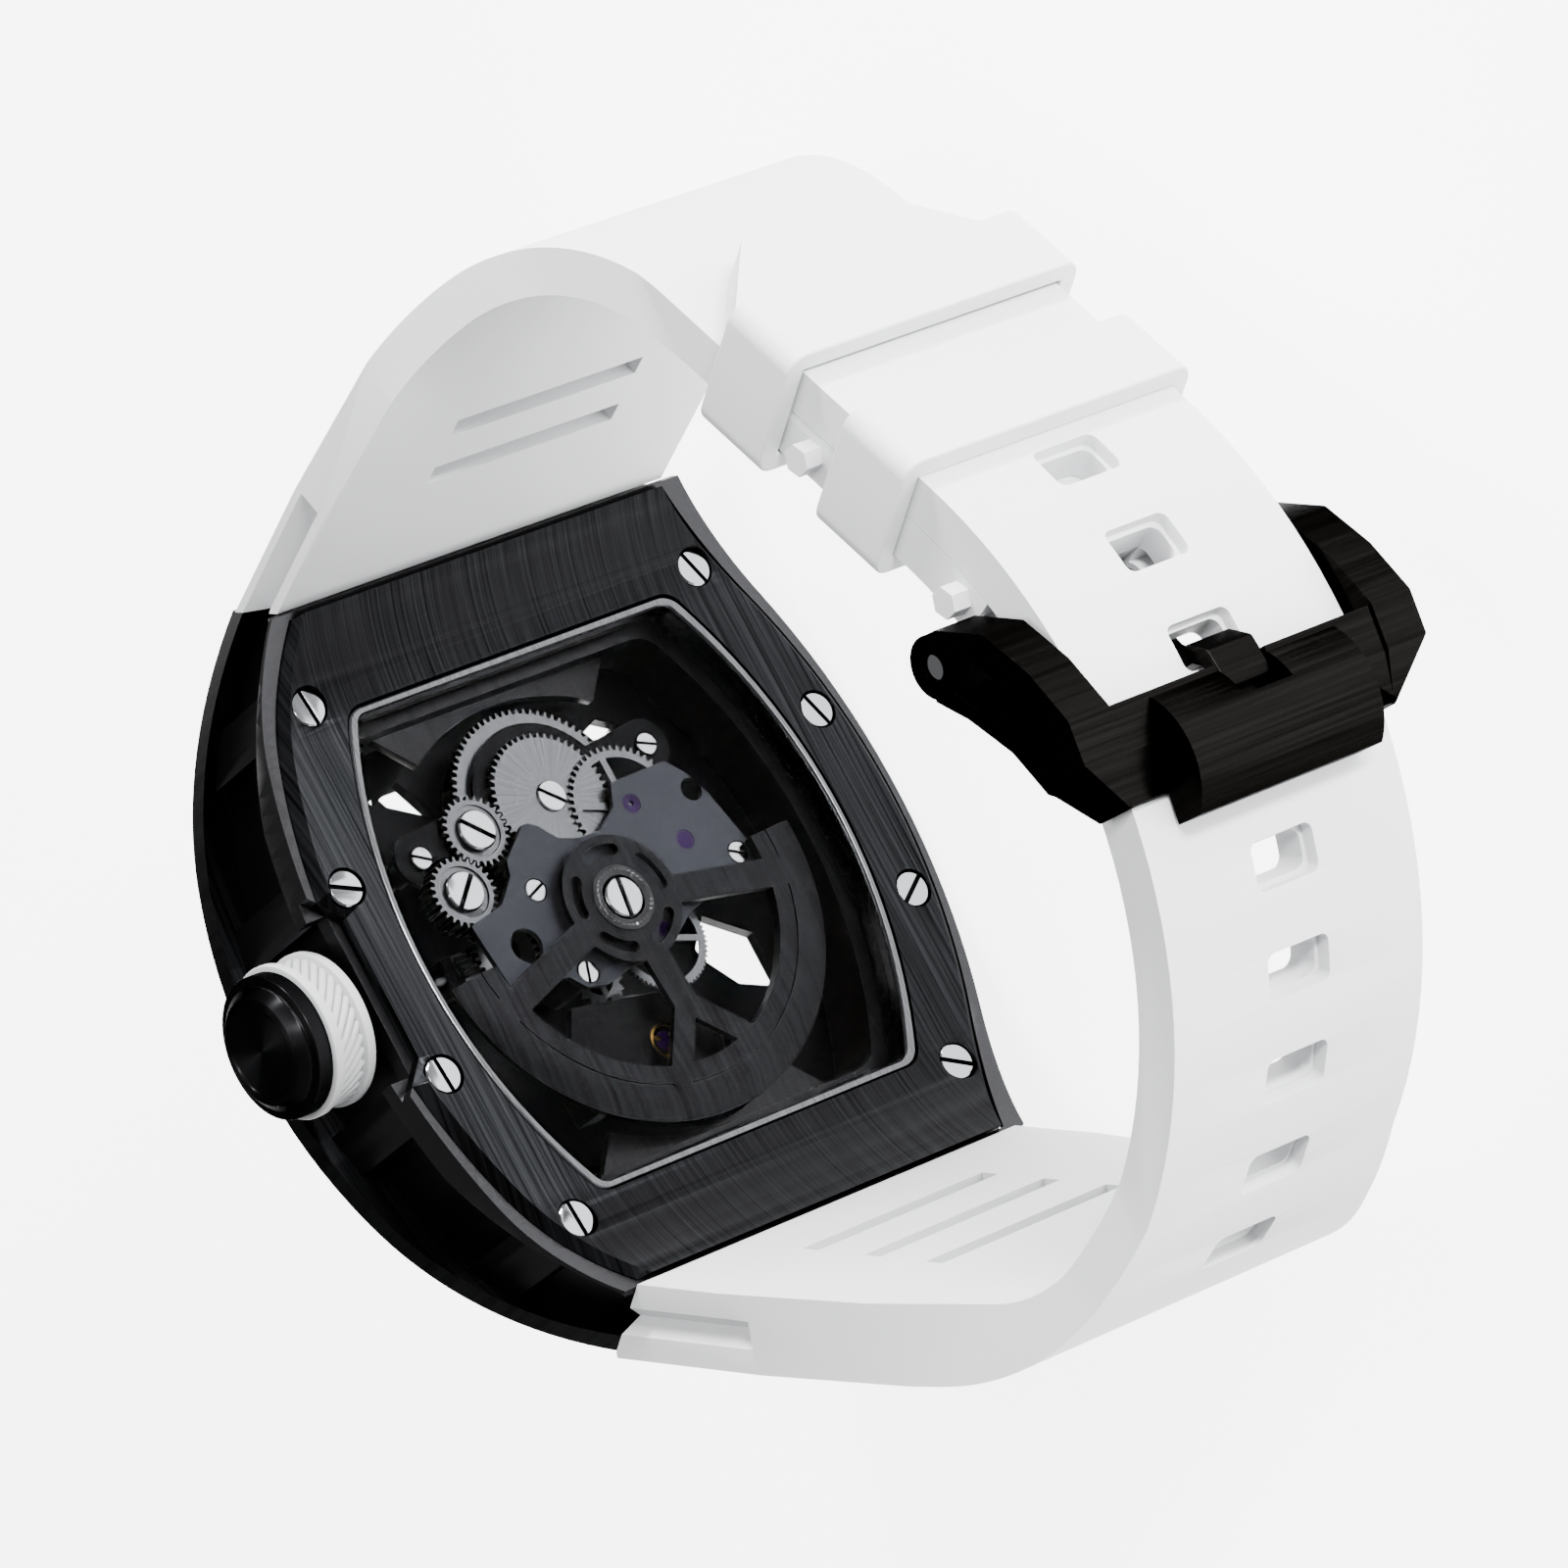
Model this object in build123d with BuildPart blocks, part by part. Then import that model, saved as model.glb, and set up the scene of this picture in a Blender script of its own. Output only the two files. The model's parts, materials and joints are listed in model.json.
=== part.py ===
from build123d import *
from math import acos, asin, atan2, cos, degrees, hypot, pi, radians, sin, sqrt, tan
import os

# Tonneau wristwatch. Origin: centre of the back crystal's outer face.
# +X runs from 12 o'clock to 6 o'clock, +Y out of the back towards the wrist, +Z out of the crown.
# A depth is measured from the back crystal's face towards the dial, so it is minus Y.

# General clearances
slip = 0.05
running_gap = 0.04
cut_overrun = 1.0
edge_break = 0.15

# Case outline in plan: a tonneau with arched sides and straight ends
case_mid_half_width = 22.9
case_end_half_width = 15.4
case_end_reach = 3.0
back_half_length = 23.0
back_side_step = 0.5
back_end_half_width = 15.5

# Back: flat in the middle, curling up at both ends round the wrist
back_flat_half_length = 15.1
back_curl_radius = 13.5
back_thickness = 1.6
back_bevel = 0.7
flange_drop = 0.6

# Front: two tangent arcs
front_depth = 12.8
front_mid_radius = 60.0
front_mid_half_length = 12.0
front_end_radius = 24.0
front_reach_share = 0.99
bezel_thickness = 1.35

# Caseband flank
flange_edge_shares = [0.522, 0.783, 1.017]
flange_edge_drops = [2.8, 1.415, 1.153]
block_inset = 1.2
pocket_inset = 2.5
block_edges = [(5.6, 8.6), (16.8, 19.9)]
end_face_gap = 0.17
end_face_tilt = 27.0
crown_gap_half_length = 5.6
crown_gap_inset = 1.9
cavity_half_length = 18.9
cavity_mid_half_width = 18.3
cavity_end_half_width = 13.6
cavity_corner = 2.0

# Tenons that hold the strap's ends in the case, and their bars
lug_drop = 3.3
lug_bar_inset = 1.1
lug_bar_radius = 0.6
lug_bar_half_length = 12.6
lug_tenon_length = 2.0
lug_tenon_thickness = 2.0
lug_half_width = 11.0

# Crown notch in the back and the flange
notch_half_length = 4.85
notch_depth = 2.0
notch_slope = 1.5

# Back window, its polished ring and crystal
window_half_length = 16.3
window_mid_half_width = 17.05
window_end_half_width = 12.75
window_corner = 1.0
window_ring_width = 0.7
window_ring_depth = 2.35
window_bevel_share = 0.3
back_crystal_thickness = 1.1

# Front opening, gasket and crystal
opening_half_length = 17.4
opening_mid_half_width = 17.3
opening_end_half_width = 13.2
opening_corner = 1.6
gasket_width = 0.4
gasket_depth = 0.5
gasket_offset = 0.35
crystal_thickness = 1.2
crystal_stand = 0.3
crystal_ledge = 0.8

# Screws of the back and the bezel
screw_head_radius = 1.22
screw_head_height = 0.8
screw_sink = 0.12
screw_shank_radius = 0.6
screw_shank_length = 2.4
screw_slot_width = 0.32
screw_slot_depth = 0.35
screw_hole_gap = 0.1
screw_bevel_share = 0.08
end_screw_x = 17.85
end_screw_inset = 3.43
mid_screw_x = 6.5
mid_screw_inset = 2.72
back_slot_turns = [60, 100, 5, 55, 70, 60, 85, 40]
front_slot_turns = [20, 75, 110, 45, 150, 95, 10, 65]

# Movement levels, as depths
screw_top_depth = 1.4
rotor_depth = 1.65
rotor_arm_thickness = 0.5
rotor_rim_thickness = 0.8
train_bridge_depth = 2.55
train_bridge_thickness = 0.45
reduction_wheel_depth = 3.08
reduction_wheel_thickness = 0.15
winding_wheel_depth = 3.33
winding_wheel_thickness = 0.5
fourth_wheel_depth = 3.5
third_wheel_depth = 3.74
centre_wheel_depth = 4.05
train_wheel_thickness = 0.14
barrel_bridge_depth = 3.9
barrel_bridge_thickness = 0.4
barrel_depth = 4.4
barrel_rim_thickness = 0.45
crown_wheel_depth = 4.47
crown_wheel_thickness = 0.46
stem_depth = 5.9
holder_depth = 4.3
main_plate_depth = 7.1
main_plate_thickness = 0.85
dial_depth = 8.6
dial_thickness = 0.35

# Rotor
rotor_turn = -4.5
rotor_hub_radius = 4.3
rotor_slot_radius = 3.3
rotor_slot_width = 0.75
rotor_slot_arc = 38
rotor_slots = 5
rotor_arm_width = 1.9
rotor_arm_angle = 76
rotor_rim_angle = 89
rotor_rim_inner = 11.35
rotor_rim_line = 12.6
rotor_rim_top = 13.7
rotor_rim_outer = 14.9
rotor_line_width = 0.12
rotor_line_depth = 0.1
fork_radius = 7.6
fork_angle = 16.5
bearing_radius = 2.2
bearing_inner_radius = 1.5
bearing_height = 0.75
rotor_screw_radius = 1.35
rotor_screw_height = 0.35
rotor_screw_shank_radius = 0.4
rotor_slot_turn = 80.0
fork_width_at_rim = 1.5

# Wheel places (x, z) and sizes of the winding train
winding_module = 0.162
winding_small_teeth = 28
ratchet_teeth = 52
reduction_pinion_teeth = 14
winding_pinion_teeth = 14
ratchet_place = (-7.98, -0.05)
intermediate_angle = 86.9
transfer_step_angle = 42.0
reduction_angle = -63.6
reduction_wheel_teeth = 50
wheel_screw_radius = 1.35
ratchet_screw_radius = 1.05
tooth_tip_share = 0.85
tooth_root_share = 1.15
fine_tip_share = 0.8
fine_root_share = 1.1
winding_tooth_shares = (0.1, 0.27)
barrel_tooth_shares = (0.11, 0.28)
wheel_screw_height = 0.18
wheel_slot_turn = 50.0
wheel_dish_radius = 1.75
wheel_dish_depth = 0.15
post_radius = 0.5
reduction_hub_radius = 0.55
reduction_spoke_width = 0.45
reduction_spokes = 5
arbor_radius = 0.35
stem_radius = 0.45
stem_start = 9.2
stem_thread_length = 0.6
winding_pinion_start = 10.2
winding_pinion_length = 0.95

# Going train
barrel_teeth = 76
centre_pinion_teeth = 20
centre_wheel_teeth = 60
third_pinion_teeth = 8
third_wheel_teeth = 64
fourth_pinion_teeth = 8
third_distance = 3.9
third_angle = -44.0
fourth_wheel_radius = 3.4
fourth_wheel_teeth = 60
seconds_arbor_radius = 0.14
balance_place = (9.1, 0.9)
balance_radius = 3.9
balance_depth = 5.3
balance_thickness = 0.5
cock_depth = 3.3
cock_thickness = 0.6
escape_pinion_teeth = 6
escape_radius = 1.7
escape_rim_share = 0.62
escape_arbor_length = 3.6
escape_teeth = 15
escape_angle = 22.0
escape_depth = 5.95
fork_place_share = 0.55
fork_width = 0.34
pallet_angle = 38.0
roller_radius = 0.5
balance_rim_share = 0.86
balance_spokes = 4
balance_spoke_width = 0.35
balance_hub_radius = 0.6
balance_weight_size = 0.4
pivot_radius = 0.14
jewel_sink = 0.2
rim_share = 0.84
train_hub_radius = 0.5
train_spoke_width = 0.4
train_spokes = 5
centre_hub_radius = 0.9
centre_arbor_radius = 0.32
drum_share = 0.93
barrel_wall = 0.35
barrel_lid_radius = 5.2
barrel_lid_sink = 0.12
barrel_drum_length = 2.45
arbor_hub_radius = 1.6

# Balance spring
spring_depth = 4.45
spring_height = 0.3
spring_inner_radius = 0.7
spring_outer_radius = 2.1
spring_half_turns = 7
spring_width = 0.1
spring_collet_radius = 0.75

# Bridges and plates: outlines and places as (x, z)
train_bridge_points = [
    (-4.99, 6.01),
    (-6.77, 3.7),
    (-6.77, 3.2),
    (-6.4, 2.6),
    (-5.19, 1.6),
    (-4.72, 0.1),
    (-4.72, -1.65),
    (-5.77, -3.38),
    (-7.3, -4.14),
    (-7.4, -8.74),
    (-6.25, -9.8),
    (-4.52, -10.66),
    (-0.98, -11.62),
    (0.75, -12.1),
    (1.2, -9.0),
    (2.2, -5.0),
    (3.3, -3.2),
    (3.81, -0.31),
    (4.6, 3.5),
    (4.3, 5.0),
    (3.3, 5.9),
    (2.51, 10.32),
    (-1.94, 10.8),
    (-2.51, 7.93),
    (-4.05, 6.3),
]
train_bridge_feet = [(-2.6, 5.05), (3.39, 4.41), (-0.2, -10.6)]
foot_radius = 0.7
bridge_screw_radius = 0.75
bridge_screw_height = 0.25
bridge_shank_radius = 0.35
bridge_shank_length = 1.2
bridge_slot_turns = [0.0, 20.0, 100.0]
bridge_jewel_places = [(-2.2, -7.3)]
jewel_radius = 0.65
bridge_hole_place = (0.46, 7.7)
bridge_hole_radius = 1.15
bridge_notch_place = (-5.06, -9.6)
bridge_notch_radius = 0.77
barrel_bridge_radius = 5.3
barrel_bridge_arm = 3.6
barrel_bridge_feet = [(-7.3, 10.9), (-9.07, -9.06)]
barrel_bridge_clear = 2.65
winding_post_radius = 0.8
crown_wheel_screw_radius = 0.95
cock_points = [
    (5.0, 6.4),
    (7.0, 7.6),
    (10.5, 7.9),
    (12.2, 6.5),
    (12.6, 3.0),
    (12.0, -0.5),
    (11.0, -2.9),
    (9.0, -3.4),
    (7.4, -2.2),
    (6.0, -0.2),
]
cock_foot_place = (10.6, 6.5)
cock_foot_size = (2.0, 1.8)
cock_jewel_sink = 0.12
shock_radius = 1.2
shock_rim_share = 0.8
shock_leg_share = 0.75
shock_leg_sizes = (0.6, 0.22)
holder_top_depth = 2.7
holder_inner_half_length = 15.5
holder_inner_mid_half_width = 16.4
holder_inner_end_half_width = 12.2
dial_ledge_sizes = (14.3, 15.4, 11.4)
end_plate_points = [(18.8, -13.0), (15.5, -9.6), (11.8, -6.3), (11.8, 6.3), (15.5, 9.6), (18.8, 13.0)]
end_plate_arch_radius = 14.95
end_plate_thickness = 0.7
end_plate_holes = [(-16.4, 7.33), (-16.4, -7.33), (16.0, -8.6)]
end_plate_hole_radius = 0.82
plate_openings = [
    [(1.9, -9.2), (3.7, -7.5), (4.5, -7.6), (6.8, -9.3), (7.7, -11.5), (7.3, -12.2), (4.1, -12.2)],
    [(-13.1, 7.3), (-10.0, 5.8), (-11.8, 8.9), (-12.4, 9.2)],
    [(-11.9, -7.7), (-12.4, -9.0), (-11.7, -10.2), (-11.1, -9.4), (-11.2, -8.1)],
]
stem_blocks = [(9.25, 0.7), (11.4, 0.8)]
stem_block_width = 2.4
stem_block_rise = 0.7
motion_post_radius = 0.25

# Motion work and hands
motion_distance = 2.4
cannon_teeth = 12
minute_wheel_teeth = 36
minute_pinion_teeth = 10
hour_wheel_teeth = 40
motion_wheel_thickness = 0.18
cannon_depth = 8.02
hour_wheel_depth = 8.3
motion_angle = 150.0
cannon_pipe_radius = 0.5
hour_pipe_radius = 0.75
hour_hand_depth = 9.25
minute_hand_depth = 9.65
second_hand_depth = 10.05
hand_thickness = 0.15
hour_hand_length = 8.2
minute_hand_length = 12.4
second_hand_length = 13.0
hour_hand_angle = 300.0
minute_hand_angle = 54.0
second_hand_angle = 180.0
hour_hand_width = 1.1
minute_hand_width = 0.9
second_hand_width = 0.3
hand_tail_share = 0.2
hand_boss_wall = 0.35
dial_sizes = (15.5, 17.4, 14.2)
dial_inner_sizes = (12.9, 13.9, 11.2)
dial_spoke_angles = [45.0, 135.0, 225.0, 315.0]
dial_spoke_length = 17.0
dial_spoke_width = 1.2
dial_hub_radius = 2.9
chapter_inner_sizes = (14.3, 15.6, 12.4)
hour_marks = 12
marker_length = 1.1
marker_width = 0.6
marker_height = 0.25

# Crown
crown_inset = 1.0
crown_grip_length = 3.2
crown_cap_length = 1.9
crown_flange_radius = 4.95
crown_waist_radius = 4.45
crown_cap_radius = 4.6
crown_face_radius = 3.4
crown_core_radius = 3.6
crown_bore_radius = 2.2
crown_bore_depth = 2.5
grip_ribs = 28
tube_radius = 1.7
tube_bore = 0.75
tube_inset = 0.3
tube_cover = 1.5
grip_flange_length = 0.7
crown_cap_side = 1.1
crown_step_radius = 4.0
crown_dish_radius = 2.9
crown_dish_depth = 0.12

# Strap
strap_side_step = 0.6
strap_buckle_half_width = 10.3
strap_full_width_y = 9.0
strap_width_points = [(20.0, 15.0), (28.0, 13.0), (34.0, 11.5), (40.5, 10.3)]
strap_thickness = 2.9
strap_case_thickness = 5.0
strap_6_root_drop = 5.483
strap_6_root_reach = 0.28
strap_6_heading = 63.2
strap_outer_join = 16.0
strap_inner_join = 8.0
strap_12_root_drop = 5.8
strap_12_root_reach = -0.736
strap_12_heading = 106.45
strap_12_upper_radius = 30.0
strap_12_upper_turn = 16.5
strap_12_bend_radius = 15.7
strap_12_end_angle = 103.0
wrist_arc_centre = (9.0, 26.0)
wrist_arc_radius = 32.0
tail_slope = 26.4
tail_length = 22.3
tip_half_width = 5.5
tip_bevel_length = 5.0
first_hole_angle = 16.4
hole_step = 12.07
hole_count = 9
hole_width = 4.4
hole_length = 2.4
recess_width = 5.0
recess_length = 3.0
recess_depth = 0.9
hole_corner_share = 0.3
recess_corner_share = 0.2
side_groove_depth = 1.2
side_groove_half_width = 0.9
side_groove_length = 13.0
slot_half_length = 7.6
slot_width = 1.5
slot_depth = 1.1
strap_12_slots = [13.9, 18.3]
strap_6_slots = [10.0, 15.6, 21.2]
stud_places = [(-4.7, -4.8), (8.7, -4.4)]
stud_radius = 1.0
stud_sides = 6
stud_height = 1.3

# Buckle
buckle_half_width = 14.0
buckle_inner_half_width = 10.75
hinge_place = (4.3, 51.8)
hinge_radius = 1.95
pin_radius = 0.75
buckle_arm_points = [
    (2.4, 52.0),
    (2.6, 53.4),
    (4.6, 57.0),
    (8.0, 58.9),
    (11.6, 60.0),
    (14.4, 59.4),
    (17.2, 57.6),
    (16.9, 54.9),
    (14.6, 55.5),
    (11.1, 54.4),
    (8.0, 52.4),
    (6.0, 50.6),
]
buckle_windows = [
    [(4.0, 53.9), (7.5, 56.3), (9.0, 54.3), (6.3, 52.4)],
    [(8.7, 56.7), (13.8, 57.9), (14.1, 56.7), (9.9, 54.9)],
]
buckle_bar_points = [(11.4, 57.0), (11.6, 59.8), (14.4, 59.2), (17.1, 57.7), (17.3, 55.5)]
buckle_block_arc = [(12.0, 59.8), (15.6, 60.9), (19.2, 58.7)]
buckle_block_foot = (18.6, 54.0)
buckle_block_half_width = 7.5
buckle_strap_gap = 0.25
buckle_slant_start = 14.3
buckle_slant_end = 17.3
tongue_width = 3.8
tongue_thickness = 1.1
tongue_eye_radius = 1.7
tongue_points = [(4.3, 51.8), (8.9, 53.4), (10.1, 54.6), (10.1, 57.9), (10.9, 59.05), (13.2, 59.2)]
tongue_recess_floor = 58.5
tongue_recess_end = 13.5

# Keepers
keeper_length = 5.5
keeper_wall = 1.3
keeper_gap = 0.2
fixed_keeper_place = 3.5
free_keeper_place = 13.8

os.makedirs("parts", exist_ok=True)


# Shared shapes


case_half_length = back_half_length + case_end_reach
back_mid_half_width = case_mid_half_width - back_side_step
strap_half_width = case_end_half_width + strap_side_step
crown_inner = case_mid_half_width - crown_inset
crown_grip_end = crown_inner + crown_grip_length
crown_end = crown_grip_end + crown_cap_length
crown_bore_end = crown_inner + crown_bore_depth
tube_start = cavity_mid_half_width + tube_inset
tube_end = crown_inner + tube_cover


def level(depth):
    """A plane at this depth, looking into the watch, with +X across and +Z up."""
    return Plane.XZ.offset(depth)


def tonneau(half_length, mid_half_width, end_half_width, corner=0.0):
    """A plan outline with arched sides and straight ends."""
    with BuildSketch() as face:
        with BuildLine():
            top = ThreePointArc(
                (-half_length, end_half_width), (0, mid_half_width), (half_length, end_half_width)
            )
            bottom = ThreePointArc(
                (half_length, -end_half_width), (0, -mid_half_width), (-half_length, -end_half_width)
            )
            Line(top @ 1, bottom @ 0)
            Line(bottom @ 1, top @ 0)
        make_face()
        if corner:
            fillet(face.vertices(), corner)
    return face.sketch


def tonneau_reach(sizes, angle):
    """How far a tonneau outline lies from its middle at this angle."""
    half_length, mid_half_width, end_half_width = sizes
    along, across = abs(cos(radians(angle))), abs(sin(radians(angle)))
    bow = 4 * along**2 * mid_half_width * (mid_half_width - end_half_width) / half_length**2
    side = 2 * mid_half_width / (across + sqrt(across**2 + bow))
    return side if along * side < half_length else half_length / along


def tonneau_ring(outer, inner):
    """The plan area between two tonneau outlines."""
    with BuildSketch() as face:
        add(outer)
        add(inner, mode=Mode.SUBTRACT)
    return face.sketch


def back_point(x, drop):
    """A point of the back's side view, this far under its outer face."""
    reach = max(abs(x) - back_flat_half_length, 0)
    return (x, back_curl_radius - sqrt((back_curl_radius + drop) ** 2 - reach**2))


end_face_top = (back_half_length + end_face_gap, back_point(back_half_length, 0)[1])


def back_curve(drop, half_length):
    """Draws the back's side view from -X to +X in the open line."""
    middle = (back_flat_half_length + half_length) / 2
    points = [back_point(x, drop) for x in (-half_length, -middle, -back_flat_half_length)]
    ThreePointArc(*points)
    Line((-back_flat_half_length, -drop), (back_flat_half_length, -drop))
    points = [back_point(x, drop) for x in (back_flat_half_length, middle, half_length)]
    ThreePointArc(*points)


front_angle = asin(front_mid_half_length / front_mid_radius)
front_end_centre = (
    (front_mid_radius - front_end_radius) * sin(front_angle),
    -front_depth + front_mid_radius - (front_mid_radius - front_end_radius) * cos(front_angle),
)


def front_reach(inset):
    """How far along X the front's end arc can be drawn at this inset."""
    return front_end_centre[0] + (front_end_radius - inset) * front_reach_share


def front_point(x, inset):
    """A point of the front's side view, this far inside its outer face."""
    reach = (front_mid_radius - inset) * sin(front_angle)
    if abs(x) <= reach:
        return (x, -front_depth + front_mid_radius - sqrt((front_mid_radius - inset) ** 2 - x**2))
    run = abs(x) - front_end_centre[0]
    return (x, front_end_centre[1] - sqrt((front_end_radius - inset) ** 2 - run**2))


def front_curve(inset, half_length):
    """Draws the front's side view from -X to +X in the open line."""
    half_length = min(half_length, front_reach(inset))
    reach = (front_mid_radius - inset) * sin(front_angle)
    if half_length > reach:
        middle = (reach + half_length) / 2
        ThreePointArc(*[front_point(x, inset) for x in (-half_length, -middle, -reach)])
        ThreePointArc(*[front_point(x, inset) for x in (-reach, 0, reach)])
        ThreePointArc(*[front_point(x, inset) for x in (reach, middle, half_length)])
    else:
        ThreePointArc(*[front_point(x, inset) for x in (-half_length, 0, half_length)])


def front_end(side, half_length, inset):
    """The end of the front's drawn curve on one side."""
    return front_point(side * min(half_length, front_reach(inset)), inset)


def front_slope(x):
    """The angle that the front's outer face falls away by at this x."""
    if abs(x) <= front_mid_half_length:
        return degrees(asin(x / front_mid_radius))
    return degrees(asin((abs(x) - front_end_centre[0]) / front_end_radius)) * (1 if x > 0 else -1)


def front_shell(outer_inset, inner_inset, half_length):
    """The side view between two insets of the front's face."""
    with BuildSketch() as face:
        with BuildLine():
            front_curve(outer_inset, half_length)
            front_curve(inner_inset, half_length)
            for side in (-1, 1):
                Line(front_end(side, half_length, outer_inset), front_end(side, half_length, inner_inset))
        make_face()
    return face.sketch


def arched_plate(side_view, plan):
    """A side view drawn through the watch, kept inside a plan outline."""
    with BuildPart() as plate:
        with BuildSketch(Plane.XY):
            add(side_view)
        extrude(amount=case_mid_half_width + cut_overrun, both=True)
        with BuildSketch(level(-case_mid_half_width)):
            add(plan)
        extrude(amount=2 * case_mid_half_width, mode=Mode.INTERSECT)
    return plate.part


def toothed_outline(teeth, module, tip_share, root_share):
    """A wheel outline with straight-flanked teeth, its first tooth on +X."""
    pitch_radius = teeth * module / 2
    tip_radius = pitch_radius + tooth_tip_share * module
    root_radius = pitch_radius - tooth_root_share * module
    step = 2 * pi / teeth
    points = []
    for tooth in range(teeth):
        middle = tooth * step
        for radius, share in ((root_radius, -root_share), (tip_radius, -tip_share)):
            turn = middle + share * step
            points.append((radius * cos(turn), radius * sin(turn)))
        for radius, share in ((tip_radius, tip_share), (root_radius, root_share)):
            turn = middle + share * step
            points.append((radius * cos(turn), radius * sin(turn)))
    with BuildSketch() as face:
        with BuildLine():
            Polyline(*points, close=True)
        make_face()
    return face.sketch


def pointed_outline(teeth, pitch_radius):
    """A fine wheel outline whose teeth are plain points, its first tooth on +X."""
    module = 2 * pitch_radius / teeth
    points = []
    for tooth in range(teeth):
        tip_radius = pitch_radius + fine_tip_share * module
        root_radius = pitch_radius - fine_root_share * module
        for radius, share in ((tip_radius, 0.0), (root_radius, 0.5)):
            turn = 2 * pi * (tooth + share) / teeth
            points.append((radius * cos(turn), radius * sin(turn)))
    with BuildSketch() as face:
        with BuildLine():
            Polyline(*points, close=True)
        make_face()
    return face.sketch


def slotted_screw(head_radius, head_height, shank_radius, shank_length, turn=0.0):
    """A cheese-head screw, its head's top on the XY plane and its shank along +Z."""
    with BuildPart() as screw:
        with BuildSketch():
            Circle(head_radius)
        extrude(amount=head_height)
        chamfer(screw.edges().sort_by(Axis.Z)[0], head_radius * screw_bevel_share)
        with BuildSketch(Plane.XY.offset(head_height)):
            Circle(shank_radius)
        extrude(amount=shank_length)
        with BuildSketch():
            Rectangle(3 * head_radius, screw_slot_width * head_radius / screw_head_radius, rotation=turn)
        extrude(amount=screw_slot_depth * head_height / screw_head_height, mode=Mode.SUBTRACT)
    return screw.part


def bar_outline(start, end, width):
    """A round-ended bar between two points."""
    length = hypot(end[0] - start[0], end[1] - start[1])
    turn = degrees(atan2(end[1] - start[1], end[0] - start[0]))
    middle = ((start[0] + end[0]) / 2, (start[1] + end[1]) / 2)
    with BuildSketch() as face:
        with Locations(middle):
            SlotCenterToCenter(length, width, rotation=turn)
    return face.sketch


def write_piece(builder, name):
    """Labels a finished piece and writes it."""
    builder.part.label = name
    export_step(builder.part, f"parts/{name}.step")


def case_screw(turn):
    """One of the screws of the back and the bezel."""
    return slotted_screw(
        screw_head_radius, screw_head_height, screw_shank_radius, screw_shank_length, turn
    )


# Case back


with BuildSketch() as back_side_view:
    with BuildLine():
        back_curve(0, back_half_length)
        back_curve(back_thickness, back_half_length)
        for side in (-1, 1):
            Line(back_point(side * back_half_length, 0), back_point(side * back_half_length, back_thickness))
    make_face()

back_plan = tonneau(back_half_length, back_mid_half_width, back_end_half_width)
window_plan = tonneau(window_half_length, window_mid_half_width, window_end_half_width, window_corner)
window_ring_plan = tonneau(
    window_half_length + window_ring_width,
    window_mid_half_width + window_ring_width,
    window_end_half_width + window_ring_width,
    window_corner + window_ring_width,
)


def side_half_width(x):
    """The case outline's half width at this x."""
    rise = case_mid_half_width - case_end_half_width
    radius = (case_half_length**2 + rise**2) / (2 * rise)
    return case_mid_half_width - radius + sqrt(radius**2 - x**2)


end_screw_z = side_half_width(end_screw_x) - end_screw_inset
mid_screw_z = side_half_width(mid_screw_x) - mid_screw_inset
screw_places = [(side * end_screw_x, end * end_screw_z) for side in (-1, 1) for end in (-1, 1)]
screw_places += [(side * mid_screw_x, end * mid_screw_z) for side in (-1, 1) for end in (-1, 1)]


def notch_outline(edge_z, overrun):
    """The area cut from the crown side, down to edge_z in the middle."""
    with BuildSketch() as face:
        with BuildLine():
            Polyline(
                (-notch_half_length, edge_z),
                (notch_half_length, edge_z),
                (notch_half_length + notch_slope + overrun, edge_z + notch_slope + overrun),
                (-notch_half_length - notch_slope - overrun, edge_z + notch_slope + overrun),
                close=True,
            )
        make_face()
    return face.sketch


with BuildPart() as case_back:
    add(arched_plate(back_side_view.sketch, back_plan))
    with BuildSketch(level(-case_mid_half_width)):
        add(notch_outline(back_mid_half_width - notch_depth, cut_overrun))
    extrude(amount=2 * case_mid_half_width, mode=Mode.SUBTRACT)
    flank_edges = case_back.edges().filter_by(lambda edge: abs(edge.center().Z) > back_end_half_width)
    upper_edges = flank_edges.filter_by(
        lambda edge: edge.center().Y > back_point(edge.center().X, back_thickness / 2)[1]
        and edge.length > back_thickness
    )
    chamfer(upper_edges, back_bevel)
    with BuildSketch(level(-back_curl_radius)):
        add(window_ring_plan)
    extrude(amount=2 * back_curl_radius, mode=Mode.SUBTRACT)
    for place in screw_places:
        top = -back_point(place[0], 0)[1]
        with BuildSketch(level(-back_curl_radius)):
            with Locations(place):
                Circle(screw_shank_radius + screw_hole_gap)
        extrude(amount=2 * back_curl_radius, mode=Mode.SUBTRACT)
        with BuildSketch(level(top + screw_sink + screw_head_height)):
            with Locations(place):
                Circle(screw_head_radius + screw_hole_gap)
        extrude(amount=-(screw_head_height + back_curl_radius), mode=Mode.SUBTRACT)
write_piece(case_back, "case_back")

with BuildPart() as case_back_screws:
    for place, turn in zip(screw_places, back_slot_turns):
        top = -back_point(place[0], 0)[1]
        screw = case_screw(turn)
        with Locations(level(top + screw_sink).location * Pos(*place, 0)):
            add(screw)
write_piece(case_back_screws, "case_back_screws")

with BuildPart() as back_window_ring:
    with BuildSketch(level(0)):
        add(tonneau_ring(window_ring_plan, window_plan))
    extrude(amount=window_ring_depth)
    rim = back_window_ring.edges().group_by(Axis.Y)[-1]
    chamfer(rim, window_ring_width * window_bevel_share)
write_piece(back_window_ring, "back_window_ring")

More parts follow.
